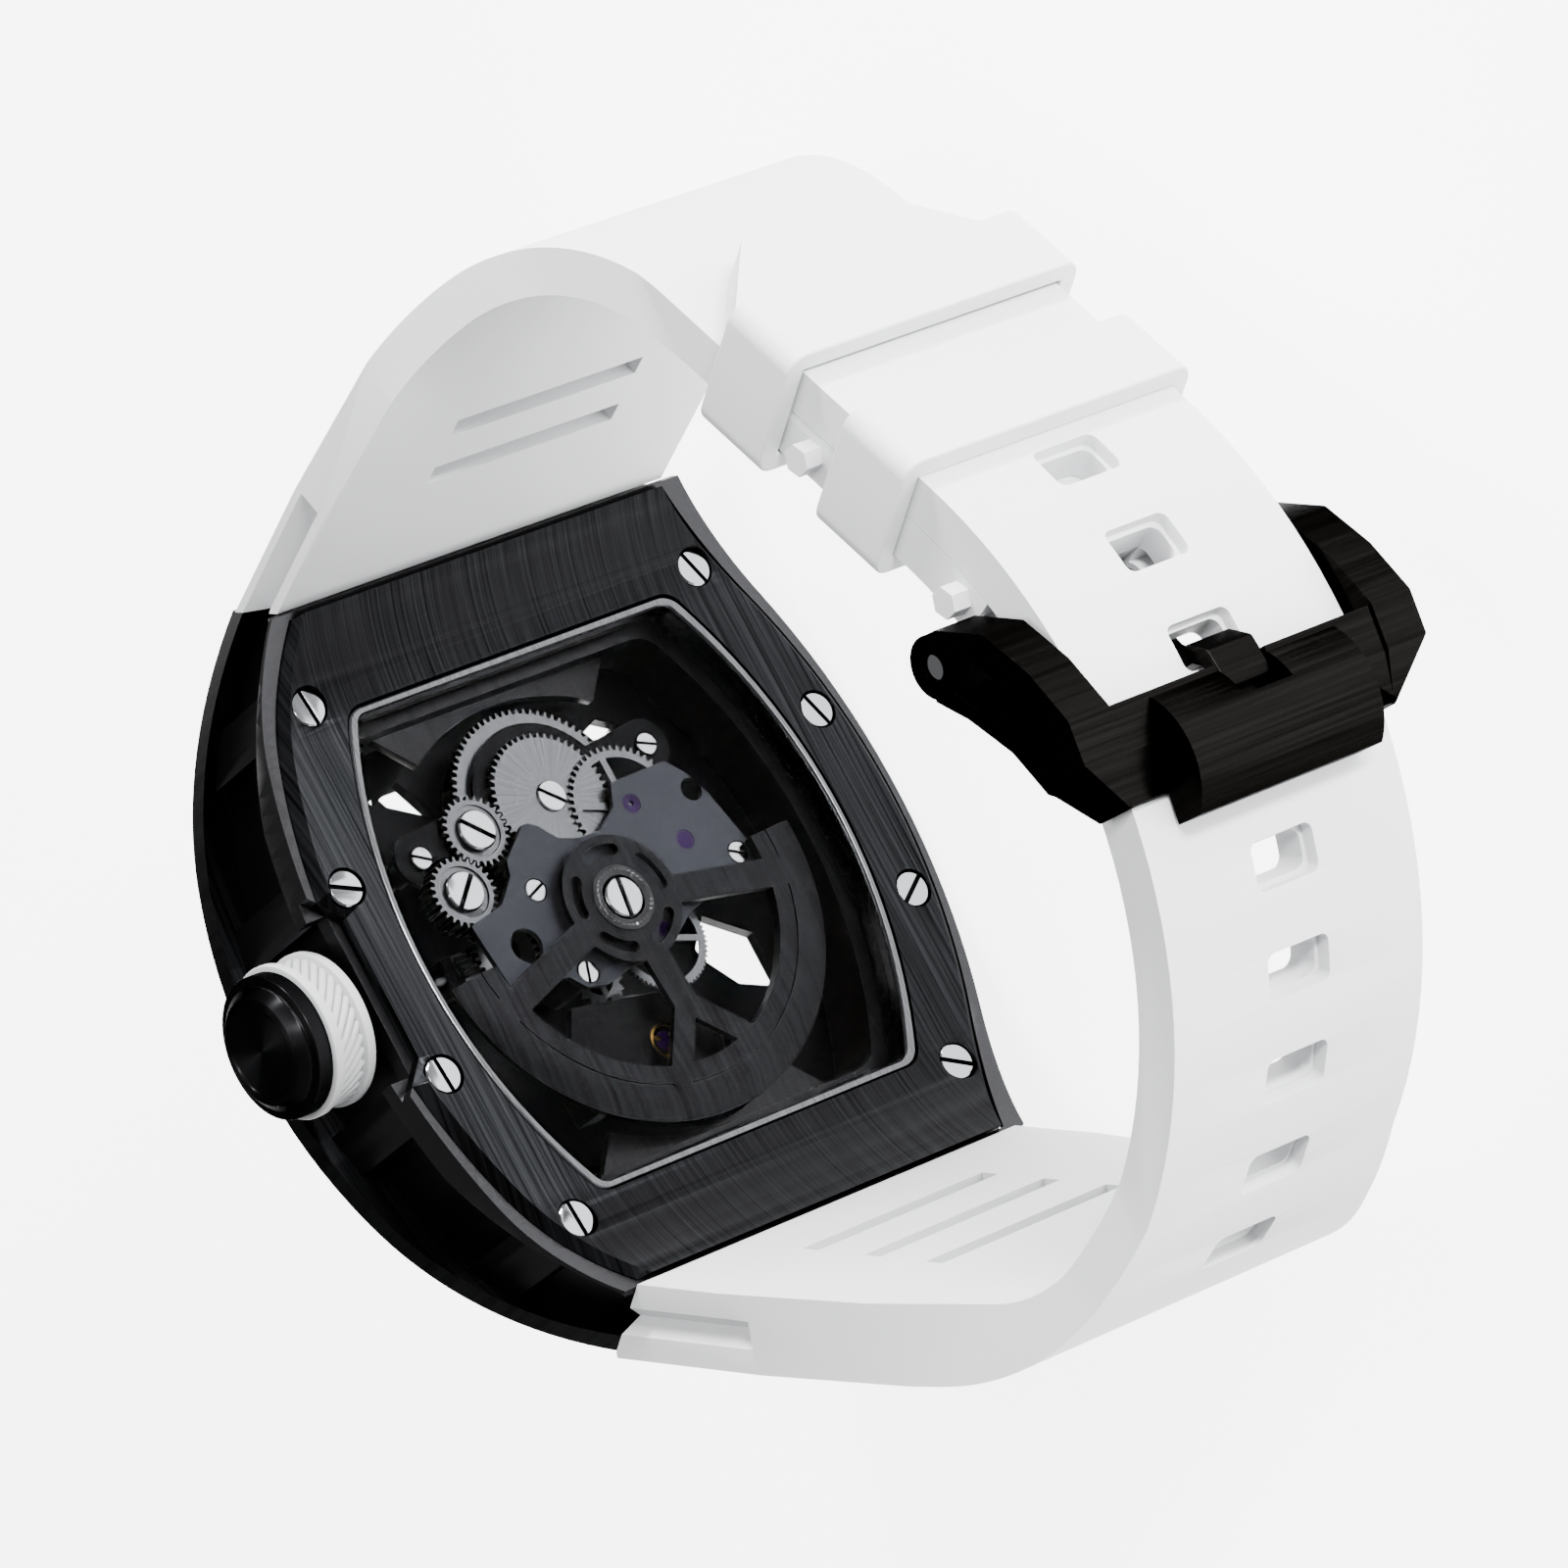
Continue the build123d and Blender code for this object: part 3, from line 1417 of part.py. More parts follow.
with BuildPart() as buckle_frame:
    for end in (1, -1):
        with BuildSketch(Plane.XY.offset(end * buckle_inner_half_width)):
            with BuildLine():
                Polyline(*buckle_arm_points, close=True)
            make_face()
            with Locations(hinge_place):
                Circle(hinge_radius)
            for window in buckle_windows:
                with BuildLine():
                    Polyline(*window, close=True)
                make_face(mode=Mode.SUBTRACT)
        extrude(amount=end * (buckle_half_width - buckle_inner_half_width))
    # The bar across the front and its raised middle block follow the strap's outer face
    with BuildSketch(Plane.XY):
        with BuildLine():
            Polyline(*buckle_bar_points, close=True)
        make_face()
        with Locations(wrist_arc_centre):
            Circle(wrist_arc_radius + buckle_strap_gap, mode=Mode.SUBTRACT)
    extrude(amount=buckle_inner_half_width + edge_break, both=True)
    with BuildSketch(Plane.XY):
        with BuildLine():
            ThreePointArc(*buckle_block_arc)
            Line(buckle_block_arc[2], buckle_block_foot)
            Line(buckle_block_foot, (buckle_block_arc[0][0], buckle_block_foot[1]))
            Line((buckle_block_arc[0][0], buckle_block_foot[1]), buckle_block_arc[0])
        make_face()
        with Locations(wrist_arc_centre):
            Circle(wrist_arc_radius + buckle_strap_gap, mode=Mode.SUBTRACT)
    extrude(amount=buckle_block_half_width, both=True)
    with BuildSketch(Plane.XY):
        recess_middle = (buckle_block_arc[0][0] + tongue_recess_end) / 2
        with Locations((recess_middle, tongue_recess_floor + hinge_radius)):
            Rectangle(tongue_recess_end - buckle_block_arc[0][0] + cut_overrun, 2 * hinge_radius)
    extrude(amount=tongue_width / 2 + 2 * slip, both=True, mode=Mode.SUBTRACT)
    # Slanted outer ends of the arms
    with BuildSketch(Plane.XZ.offset(-(strap_top + buckle_half_width))):
        for end in (1, -1):
            with BuildLine():
                Polyline(
                    (buckle_slant_start, end * buckle_half_width),
                    (buckle_slant_end, end * buckle_inner_half_width),
                    (buckle_slant_end + buckle_half_width, end * buckle_half_width),
                    close=True,
                )
            make_face()
    extrude(amount=2 * buckle_half_width, mode=Mode.SUBTRACT)
    with BuildSketch(Plane.XY):
        with Locations(hinge_place):
            Circle(pin_radius + running_gap)
    extrude(amount=buckle_half_width + cut_overrun, both=True, mode=Mode.SUBTRACT)
write_piece(buckle_frame, "buckle_frame")

with BuildPart() as buckle_tongue:
    with BuildSketch(Plane.XY):
        with BuildLine() as tongue_line:
            Polyline(*tongue_points)
        trace(tongue_line.line, line_width=tongue_thickness)
        with Locations(hinge_place):
            Circle(tongue_eye_radius)
            Circle(pin_radius + running_gap, mode=Mode.SUBTRACT)
    extrude(amount=tongue_width / 2, both=True)
write_piece(buckle_tongue, "buckle_tongue")

with BuildPart() as buckle_pin:
    with BuildSketch(Plane.XY):
        with Locations(hinge_place):
            Circle(pin_radius)
    extrude(amount=buckle_half_width - edge_break, both=True)
write_piece(buckle_pin, "buckle_pin")


# Crown

crown_axis = Plane(origin=(0, -stem_depth, 0), x_dir=(1, 0, 0), z_dir=(0, 0, 1))


grip_bevel = (crown_flange_radius - crown_waist_radius) / 2
grip_waist_start = crown_inner + grip_flange_length
grip_waist_end = crown_grip_end - grip_flange_length
with BuildPart() as crown_grip:
    for start, length in (
        (crown_inner, grip_flange_length),
        (grip_waist_end, grip_flange_length),
    ):
        with BuildSketch(crown_axis.offset(start)):
            Circle(crown_flange_radius)
        extrude(amount=length)
    chamfer(crown_grip.edges().group_by(Axis.Z)[0], grip_bevel)
    chamfer(crown_grip.edges().group_by(Axis.Z)[-1], grip_bevel)
    with BuildSketch(crown_axis.offset(grip_waist_start)):
        add(pointed_outline(grip_ribs, crown_waist_radius))
    extrude(amount=grip_waist_end - grip_waist_start)
    with BuildSketch(crown_axis.offset(crown_inner)):
        Circle(crown_core_radius)
    extrude(amount=crown_grip_end - crown_inner, mode=Mode.SUBTRACT)
write_piece(crown_grip, "crown_grip")

with BuildPart() as crown_cap:
    with BuildSketch(crown_axis.offset(crown_inner)):
        Circle(crown_core_radius)
    extrude(amount=crown_grip_end - crown_inner)
    with BuildSketch(crown_axis.offset(crown_grip_end)):
        Circle(crown_cap_radius)
    extrude(amount=crown_cap_side)
    with BuildSketch(crown_axis.offset(crown_grip_end + crown_cap_side)):
        Circle(crown_step_radius)
    extrude(amount=crown_end - crown_grip_end - crown_cap_side)
    chamfer(crown_cap.edges().group_by(Axis.Z)[-1], crown_step_radius - crown_face_radius)
    with BuildSketch(crown_axis.offset(crown_end)):
        Circle(crown_dish_radius)
    extrude(amount=-crown_dish_depth, mode=Mode.SUBTRACT)
    with BuildSketch(crown_axis.offset(crown_inner)):
        Circle(crown_bore_radius)
    extrude(amount=crown_bore_end - crown_inner, mode=Mode.SUBTRACT)
    with BuildSketch(crown_axis.offset(crown_bore_end)):
        Circle(stem_radius)
    extrude(amount=stem_thread_length, mode=Mode.SUBTRACT)
write_piece(crown_cap, "crown_cap")

with BuildPart() as crown_gasket:
    with BuildSketch(crown_axis.offset(crown_inner + grip_flange_length)):
        Circle(crown_bore_radius)
        Circle(tube_radius + running_gap, mode=Mode.SUBTRACT)
    extrude(amount=gasket_depth)
write_piece(crown_gasket, "crown_gasket")

with BuildPart() as crown_tube:
    with BuildSketch(crown_axis.offset(tube_start)):
        Circle(tube_radius)
        Circle(tube_bore, mode=Mode.SUBTRACT)
    extrude(amount=tube_end - tube_start)
write_piece(crown_tube, "crown_tube")

with BuildPart() as winding_stem:
    with BuildSketch(crown_axis.offset(stem_start)):
        Circle(stem_radius)
    extrude(amount=crown_bore_end + stem_thread_length - stem_start)
write_piece(winding_stem, "winding_stem")

winding_pinion_outline = toothed_outline(winding_pinion_teeth, winding_module, *winding_tooth_shares)
with BuildPart() as winding_pinion:
    with BuildSketch(crown_axis.offset(winding_pinion_start)):
        with Locations(Rotation(0, 0, 90)):
            add(winding_pinion_outline)
        Circle(stem_radius + running_gap, mode=Mode.SUBTRACT)
    extrude(amount=winding_pinion_length)
write_piece(winding_pinion, "winding_pinion")


# Wheels


def polar(distance, angle, centre=(0.0, 0.0)):
    """A point at this distance and angle from a centre."""
    return (centre[0] + distance * cos(radians(angle)), centre[1] + distance * sin(radians(angle)))


def meshing_turn(teeth, turn, direction, next_teeth):
    """How far to turn the next wheel so that its gap meets this wheel's tooth."""
    lead = (turn - direction) % (360 / teeth)
    return direction + 180 - lead * teeth / next_teeth + 180 / next_teeth


def spoked_face(outline, rim_radius, hub_radius, spoke_width, spokes, bore, turn):
    """A wheel face cut out between its rim and hub, leaving straight spokes."""
    with BuildSketch() as face:
        with Locations(Rotation(0, 0, turn)):
            add(outline)
        if spokes:
            with BuildSketch(mode=Mode.PRIVATE) as gaps:
                Circle(rim_radius)
                Circle(hub_radius, mode=Mode.SUBTRACT)
                with Locations([Rotation(0, 0, turn + 360 * spoke / spokes) for spoke in range(spokes)]):
                    with Locations((rim_radius / 2, 0)):
                        Rectangle(rim_radius + spoke_width, spoke_width, mode=Mode.SUBTRACT)
            add(gaps.sketch, mode=Mode.SUBTRACT)
        if bore:
            Circle(bore, mode=Mode.SUBTRACT)
    return face.sketch


def small_wheel_outline(teeth):
    """A winding wheel's toothed outline."""
    return toothed_outline(teeth, winding_module, *winding_tooth_shares)


def mesh_distance(teeth, next_teeth):
    """Centre distance of two winding wheels."""
    return winding_module * (teeth + next_teeth) / 2


intermediate_place = polar(
    mesh_distance(ratchet_teeth, winding_small_teeth), intermediate_angle, ratchet_place
)
small_step = mesh_distance(winding_small_teeth, winding_small_teeth)
transfer_place = polar(small_step, transfer_step_angle, intermediate_place)
crown_wheel_angle = -degrees(acos(-transfer_place[0] / small_step))
crown_wheel_place = polar(small_step, crown_wheel_angle, transfer_place)
reduction_place = polar(
    mesh_distance(ratchet_teeth, reduction_pinion_teeth), reduction_angle, ratchet_place
)

# The crown wheel turns a gap towards the crown, and every other wheel follows from it
crown_wheel_turn = 90 + 180 / winding_small_teeth
transfer_turn = meshing_turn(
    winding_small_teeth, crown_wheel_turn, crown_wheel_angle + 180, winding_small_teeth
)
intermediate_turn = meshing_turn(
    winding_small_teeth, transfer_turn, transfer_step_angle + 180, winding_small_teeth
)
ratchet_turn = meshing_turn(winding_small_teeth, intermediate_turn, intermediate_angle + 180, ratchet_teeth)
reduction_turn = meshing_turn(ratchet_teeth, ratchet_turn, reduction_angle, reduction_pinion_teeth)


def round_at(depth, place, radius, length, bore=0.0):
    """A round post or ring at this depth and place."""
    with BuildPart() as post:
        with BuildSketch(level(depth)):
            with Locations(place):
                Circle(radius)
                if bore:
                    Circle(bore, mode=Mode.SUBTRACT)
        extrude(amount=length)
    return post.part


def wheel_dish(place):
    """The dish sunk in a winding wheel's top round its screw."""
    return round_at(winding_wheel_depth - wheel_dish_depth, place, wheel_dish_radius, 2 * wheel_dish_depth)


def wheel_at(depth, place, thickness, face):
    """A wheel cut from a face at this depth and place."""
    with BuildPart() as wheel:
        with BuildSketch(level(depth)):
            with Locations(place):
                add(face)
        extrude(amount=thickness)
    return wheel.part


small_outline = small_wheel_outline(winding_small_teeth)
with BuildPart() as crown_wheel:
    face = spoked_face(small_outline, 0, 0, 0, 0, post_radius + running_gap, crown_wheel_turn)
    add(wheel_at(crown_wheel_depth, crown_wheel_place, crown_wheel_thickness, face))
write_piece(crown_wheel, "crown_wheel")

transfer_length = crown_wheel_depth + crown_wheel_thickness - winding_wheel_depth
with BuildPart() as transfer_wheel:
    face = spoked_face(small_outline, 0, 0, 0, 0, post_radius + running_gap, transfer_turn)
    add(wheel_at(winding_wheel_depth, transfer_place, transfer_length, face))
    add(wheel_dish(transfer_place), mode=Mode.SUBTRACT)
write_piece(transfer_wheel, "transfer_wheel")

with BuildPart() as intermediate_wheel:
    face = spoked_face(small_outline, 0, 0, 0, 0, post_radius + running_gap, intermediate_turn)
    add(wheel_at(winding_wheel_depth, intermediate_place, winding_wheel_thickness, face))
    add(wheel_dish(intermediate_place), mode=Mode.SUBTRACT)
write_piece(intermediate_wheel, "intermediate_wheel")

with BuildPart() as ratchet_wheel:
    face = spoked_face(small_wheel_outline(ratchet_teeth), 0, 0, 0, 0, arbor_radius, ratchet_turn)
    add(wheel_at(winding_wheel_depth, ratchet_place, winding_wheel_thickness, face))
write_piece(ratchet_wheel, "ratchet_wheel")

with BuildPart() as ratchet_screw:
    screw = slotted_screw(
        ratchet_screw_radius, wheel_screw_height, arbor_radius, winding_wheel_thickness / 2, wheel_slot_turn
    )
    head_top = level(winding_wheel_depth - wheel_screw_height)
    with Locations(head_top.location * Pos(*ratchet_place, 0)):
        add(screw)
write_piece(ratchet_screw, "ratchet_screw")

arbor_top = winding_wheel_depth + winding_wheel_thickness / 2
with BuildPart() as barrel_arbor:
    add(round_at(arbor_top, ratchet_place, arbor_radius, main_plate_depth - arbor_top))
    drum_room = barrel_drum_length - 2 * barrel_wall
    add(round_at(barrel_depth + barrel_wall, ratchet_place, arbor_hub_radius, drum_room))
write_piece(barrel_arbor, "barrel_arbor")

reduction_pitch_radius = winding_module * reduction_wheel_teeth / 2
with BuildPart() as reduction_wheel:
    face = spoked_face(
        small_wheel_outline(reduction_wheel_teeth),
        reduction_pitch_radius * rim_share,
        reduction_hub_radius,
        reduction_spoke_width,
        reduction_spokes,
        0,
        reduction_turn,
    )
    add(wheel_at(reduction_wheel_depth, reduction_place, reduction_wheel_thickness, face))
    face = spoked_face(small_wheel_outline(reduction_pinion_teeth), 0, 0, 0, 0, 0, reduction_turn)
    add(wheel_at(winding_wheel_depth, reduction_place, winding_wheel_thickness, face))
    pivot_start = train_bridge_depth + jewel_sink
    pivot_end = barrel_bridge_depth + barrel_bridge_thickness / 2
    add(round_at(pivot_start, reduction_place, pivot_radius, pivot_end - pivot_start))
    add(
        round_at(
            reduction_wheel_depth,
            reduction_place,
            reduction_hub_radius,
            winding_wheel_depth + winding_wheel_thickness - reduction_wheel_depth,
        )
    )
write_piece(reduction_wheel, "reduction_wheel")


# Going train

barrel_module = 2 * hypot(*ratchet_place) / (barrel_teeth + centre_pinion_teeth)
barrel_direction = degrees(atan2(-ratchet_place[1], -ratchet_place[0]))
centre_pinion_turn = meshing_turn(barrel_teeth, 0.0, barrel_direction, centre_pinion_teeth)
third_place = polar(third_distance, third_angle)
centre_wheel_radius = third_distance * centre_wheel_teeth / (centre_wheel_teeth + third_pinion_teeth)
third_wheel_radius = third_distance * third_wheel_teeth / (third_wheel_teeth + fourth_pinion_teeth)
third_pinion_turn = meshing_turn(centre_wheel_teeth, 0.0, third_angle, third_pinion_teeth)
fourth_pinion_turn = meshing_turn(third_wheel_teeth, 0.0, third_angle + 180, fourth_pinion_teeth)

barrel_pitch_radius = barrel_module * barrel_teeth / 2
drum_radius = barrel_pitch_radius * drum_share
with BuildPart() as barrel:
    outline = toothed_outline(barrel_teeth, barrel_module, *barrel_tooth_shares)
    add(wheel_at(barrel_depth, ratchet_place, barrel_rim_thickness, outline))
    add(round_at(barrel_depth, ratchet_place, drum_radius, barrel_drum_length))
    add(
        round_at(barrel_depth + barrel_wall, ratchet_place, drum_radius - barrel_wall, drum_room),
        mode=Mode.SUBTRACT,
    )
    arbor_bore = arbor_radius + running_gap
    add(
        round_at(barrel_depth - cut_overrun, ratchet_place, arbor_bore, 2 * barrel_drum_length),
        mode=Mode.SUBTRACT,
    )
    add(
        round_at(barrel_depth - cut_overrun, ratchet_place, barrel_lid_radius, cut_overrun + barrel_lid_sink),
        mode=Mode.SUBTRACT,
    )
write_piece(barrel, "barrel")

centre_pinion_outline = toothed_outline(centre_pinion_teeth, barrel_module, *barrel_tooth_shares)
with BuildPart() as centre_wheel:
    face = spoked_face(
        pointed_outline(centre_wheel_teeth, centre_wheel_radius),
        centre_wheel_radius * rim_share,
        centre_hub_radius,
        train_spoke_width,
        train_spokes,
        0,
        0,
    )
    add(wheel_at(centre_wheel_depth, (0, 0), train_wheel_thickness, face))
    face = spoked_face(centre_pinion_outline, 0, 0, 0, 0, 0, centre_pinion_turn)
    add(wheel_at(barrel_depth, (0, 0), barrel_rim_thickness, face))
    add(round_at(centre_wheel_depth, (0, 0), centre_hub_radius, barrel_depth - centre_wheel_depth))
    add(round_at(barrel_depth, (0, 0), centre_arbor_radius, minute_hand_depth - slip - barrel_depth))
    add(
        round_at(centre_wheel_depth - cut_overrun, (0, 0), seconds_arbor_radius + running_gap, front_depth),
        mode=Mode.SUBTRACT,
    )
write_piece(centre_wheel, "centre_wheel")

with BuildPart() as third_wheel:
    face = spoked_face(
        pointed_outline(third_wheel_teeth, third_wheel_radius),
        third_wheel_radius * rim_share,
        train_hub_radius,
        train_spoke_width,
        train_spokes,
        0,
        0,
    )
    add(wheel_at(third_wheel_depth, third_place, train_wheel_thickness, face))
    pinion_radius = third_distance - centre_wheel_radius
    face = spoked_face(pointed_outline(third_pinion_teeth, pinion_radius), 0, 0, 0, 0, 0, third_pinion_turn)
    pinion_start = third_wheel_depth + train_wheel_thickness
    pinion_length = centre_wheel_depth + 2 * train_wheel_thickness - pinion_start
    add(wheel_at(pinion_start, third_place, pinion_length, face))
    pivot_start = train_bridge_depth + jewel_sink
    add(round_at(pivot_start, third_place, pivot_radius, main_plate_depth - pivot_start))
write_piece(third_wheel, "third_wheel")

with BuildPart() as fourth_wheel:
    face = spoked_face(
        pointed_outline(fourth_wheel_teeth, fourth_wheel_radius),
        fourth_wheel_radius * rim_share,
        train_hub_radius,
        train_spoke_width,
        train_spokes,
        0,
        fourth_pinion_turn,
    )
    add(wheel_at(fourth_wheel_depth, (0, 0), train_wheel_thickness, face))
    pinion_radius = third_distance - third_wheel_radius
    face = spoked_face(pointed_outline(fourth_pinion_teeth, pinion_radius), 0, 0, 0, 0, 0, fourth_pinion_turn)
    pinion_start = fourth_wheel_depth + train_wheel_thickness
    pinion_length = third_wheel_depth + train_wheel_thickness - pinion_start
    add(wheel_at(pinion_start, (0, 0), pinion_length, face))
    arbor_start = train_bridge_depth + train_bridge_thickness + slip
    add(round_at(arbor_start, (0, 0), seconds_arbor_radius, second_hand_depth - arbor_start))
write_piece(fourth_wheel, "fourth_wheel")

escape_distance = fourth_wheel_radius * (1 + escape_pinion_teeth / fourth_wheel_teeth)
escape_place = polar(escape_distance, escape_angle)
balance_away = (balance_place[0] - escape_place[0], balance_place[1] - escape_place[1])
balance_angle = degrees(atan2(balance_away[1], balance_away[0]))
balance_run = hypot(*balance_away)
escape_pinion_turn = meshing_turn(fourth_wheel_teeth, fourth_pinion_turn, escape_angle, escape_pinion_teeth)
with BuildPart() as escape_wheel:
    face = spoked_face(
        pointed_outline(escape_teeth, escape_radius),
        escape_radius * escape_rim_share,
        pivot_radius * 2,
        train_spoke_width,
        4,
        0,
        balance_angle,
    )
    add(wheel_at(escape_depth, escape_place, train_wheel_thickness, face))
    pinion_radius = escape_distance - fourth_wheel_radius
    face = spoked_face(pointed_outline(escape_pinion_teeth, pinion_radius), 0, 0, 0, 0, 0, escape_pinion_turn)
    add(wheel_at(fourth_wheel_depth, escape_place, train_wheel_thickness, face))
    arbor_start = train_bridge_depth + train_bridge_thickness
    add(round_at(arbor_start, escape_place, pivot_radius, escape_arbor_length))
write_piece(escape_wheel, "escape_wheel")

fork_place = polar(fork_place_share * balance_run, balance_angle, escape_place)
fork_depth = escape_depth + train_wheel_thickness + slip
with BuildPart() as pallet_fork:
    with BuildSketch(level(fork_depth)):
        lever_end = polar(balance_run - roller_radius, balance_angle, escape_place)
        add(bar_outline(fork_place, lever_end, fork_width))
        for side in (1, -1):
            arm_end = polar(escape_radius, balance_angle + side * pallet_angle, escape_place)
            add(bar_outline(fork_place, arm_end, fork_width))
    extrude(amount=train_wheel_thickness)
    add(round_at(fork_depth, fork_place, pivot_radius, main_plate_depth - fork_depth))
write_piece(pallet_fork, "pallet_fork")

with BuildPart() as balance_wheel:
    with BuildSketch(level(balance_depth)):
        with Locations(balance_place):
            Circle(balance_radius)
            Circle(balance_radius * balance_rim_share, mode=Mode.SUBTRACT)
            spoke_angle = balance_angle + 180 / balance_spokes
            with PolarLocations(
                balance_radius * balance_rim_share / 2, balance_spokes, start_angle=spoke_angle
            ):
                Rectangle(balance_radius * balance_rim_share + slip, balance_spoke_width)
            Circle(balance_hub_radius)
    extrude(amount=balance_thickness)
    with BuildSketch(level(balance_depth)):
        with Locations(balance_place):
            with PolarLocations(balance_radius, balance_spokes, start_angle=balance_angle):
                Rectangle(2 * balance_weight_size, 2 * balance_weight_size)
            Circle(balance_radius * balance_rim_share, mode=Mode.SUBTRACT)
    extrude(amount=balance_thickness)
    staff_start = cock_depth + cock_thickness / 2
    add(round_at(staff_start, balance_place, pivot_radius, main_plate_depth - staff_start))
write_piece(balance_wheel, "balance_wheel")

# A coiled balance spring: half turns about two centres, each wider than the last
spring_step = (spring_outer_radius - spring_inner_radius) / spring_half_turns
with BuildSketch() as spring_face:
    with BuildLine() as coil:
        for half_turn in range(spring_half_turns):
            side = 1 if half_turn % 2 == 0 else -1
            centre = 0.0 if side == 1 else spring_step
            radius = spring_inner_radius + half_turn * spring_step
            ThreePointArc((centre + side * radius, 0), (centre, side * radius), (centre - side * radius, 0))
    trace(coil.line, line_width=spring_width)
    Circle(spring_collet_radius)
    Circle(pivot_radius + running_gap, mode=Mode.SUBTRACT)
with BuildPart() as hairspring:
    add(wheel_at(spring_depth, balance_place, spring_height, spring_face.sketch))
write_piece(hairspring, "hairspring")


# Bridges and plates


def plan_polygon(points):
    """A plan area with straight edges between its points."""
    with BuildSketch() as face:
        with BuildLine():
            Polyline(*points, close=True)
        make_face()
    return face.sketch


bridge_top = train_bridge_depth
bridge_under = train_bridge_depth + train_bridge_thickness
with BuildPart() as train_bridge:
    with BuildSketch(level(bridge_top)):
        add(plan_polygon(train_bridge_points))
    extrude(amount=train_bridge_thickness)
    with BuildSketch(level(bridge_under)):
        with Locations(*train_bridge_feet):
            Circle(foot_radius)
    extrude(amount=main_plate_depth - bridge_under)
    with BuildSketch(level(bridge_top)):
        with Locations(*train_bridge_feet):
            Circle(bridge_screw_radius + slip)
    extrude(amount=bridge_screw_height + slip, mode=Mode.SUBTRACT)
    with BuildSketch(level(bridge_top)):
        with Locations(*train_bridge_feet):
            Circle(bridge_shank_radius)
    extrude(amount=bridge_screw_height + bridge_shank_length, mode=Mode.SUBTRACT)
    with BuildSketch(level(bridge_top)):
        with Locations(*bridge_jewel_places, reduction_place, third_place):
            Circle(jewel_radius)
        with Locations(bridge_hole_place):
            Circle(bridge_hole_radius)
        with Locations(bridge_notch_place):
            Circle(bridge_notch_radius)
        with Locations(escape_place):
            Circle(pivot_radius + running_gap)
        Circle(rotor_screw_shank_radius)
    extrude(amount=train_bridge_thickness, mode=Mode.SUBTRACT)
write_piece(train_bridge, "train_bridge")

with BuildPart() as jewels:
    with BuildSketch(level(train_bridge_depth + slip)):
        with Locations(*bridge_jewel_places):
            Circle(jewel_radius)
        with Locations(reduction_place, third_place):
            Circle(jewel_radius)
            Circle(pivot_radius + running_gap, mode=Mode.SUBTRACT)
    extrude(amount=train_bridge_thickness - slip)
    with BuildSketch(level(cock_depth + cock_jewel_sink)):
        with Locations(balance_place):
            Circle(jewel_radius)
    extrude(amount=cock_thickness / 2 - cock_jewel_sink - slip)
write_piece(jewels, "jewels")

with BuildPart() as barrel_bridge:
    with BuildSketch(level(barrel_bridge_depth)):
        with Locations(ratchet_place):
            Circle(barrel_bridge_radius)
        for foot in barrel_bridge_feet:
            add(bar_outline(ratchet_place, foot, barrel_bridge_arm))
        with Locations(transfer_place):
            Circle(barrel_bridge_clear, mode=Mode.SUBTRACT)
        Circle(centre_wheel_radius + 4 * slip, mode=Mode.SUBTRACT)
        with Locations(ratchet_place):
            Circle(arbor_radius + running_gap, mode=Mode.SUBTRACT)
        with Locations(intermediate_place):
            Circle(bridge_shank_radius, mode=Mode.SUBTRACT)
        with Locations(reduction_place):
            Circle(pivot_radius + running_gap, mode=Mode.SUBTRACT)
    extrude(amount=barrel_bridge_thickness)
    with BuildSketch(level(barrel_bridge_depth + barrel_bridge_thickness)):
        with Locations(*barrel_bridge_feet):
            Circle(foot_radius)
    extrude(amount=main_plate_depth - barrel_bridge_depth - barrel_bridge_thickness)
    with BuildSketch(level(barrel_bridge_depth)):
        with Locations(*barrel_bridge_feet):
            Circle(bridge_shank_radius)
    extrude(amount=bridge_shank_length, mode=Mode.SUBTRACT)
write_piece(barrel_bridge, "barrel_bridge")

with BuildPart() as balance_cock:
    with BuildSketch(level(cock_depth)):
        add(plan_polygon(cock_points))
        with Locations(balance_place):
            Circle(shock_radius, mode=Mode.SUBTRACT)
    extrude(amount=cock_thickness)
    with BuildSketch(level(cock_depth)):
        with Locations(balance_place):
            Circle(shock_radius + slip)
            Circle(jewel_radius, mode=Mode.SUBTRACT)
    extrude(amount=cock_thickness)
    with BuildSketch(level(cock_depth)):
        with Locations(balance_place):
            Circle(shock_radius)
    extrude(amount=cock_jewel_sink, mode=Mode.SUBTRACT)
    with BuildSketch(level(cock_depth + cock_thickness)):
        with Locations(cock_foot_place):
            Rectangle(*cock_foot_size)
    extrude(amount=main_plate_depth - cock_depth - cock_thickness)
    with BuildSketch(level(cock_depth)):
        with Locations(cock_foot_place):
            Circle(bridge_screw_radius + slip)
    extrude(amount=bridge_screw_height + slip, mode=Mode.SUBTRACT)
    with BuildSketch(level(cock_depth)):
        with Locations(cock_foot_place):
            Circle(bridge_shank_radius)
    extrude(amount=bridge_screw_height + bridge_shank_length, mode=Mode.SUBTRACT)
write_piece(balance_cock, "balance_cock")

with BuildPart() as shock_spring:
    with BuildSketch(level(cock_depth)):
        with Locations(balance_place):
            Circle(shock_radius - slip)
            Circle(shock_radius * shock_rim_share, mode=Mode.SUBTRACT)
            with PolarLocations(shock_radius * shock_rim_share * shock_leg_share, 3):
                Rectangle(shock_radius * shock_leg_sizes[0], shock_radius * shock_leg_sizes[1])
    extrude(amount=cock_jewel_sink)
write_piece(shock_spring, "shock_spring")

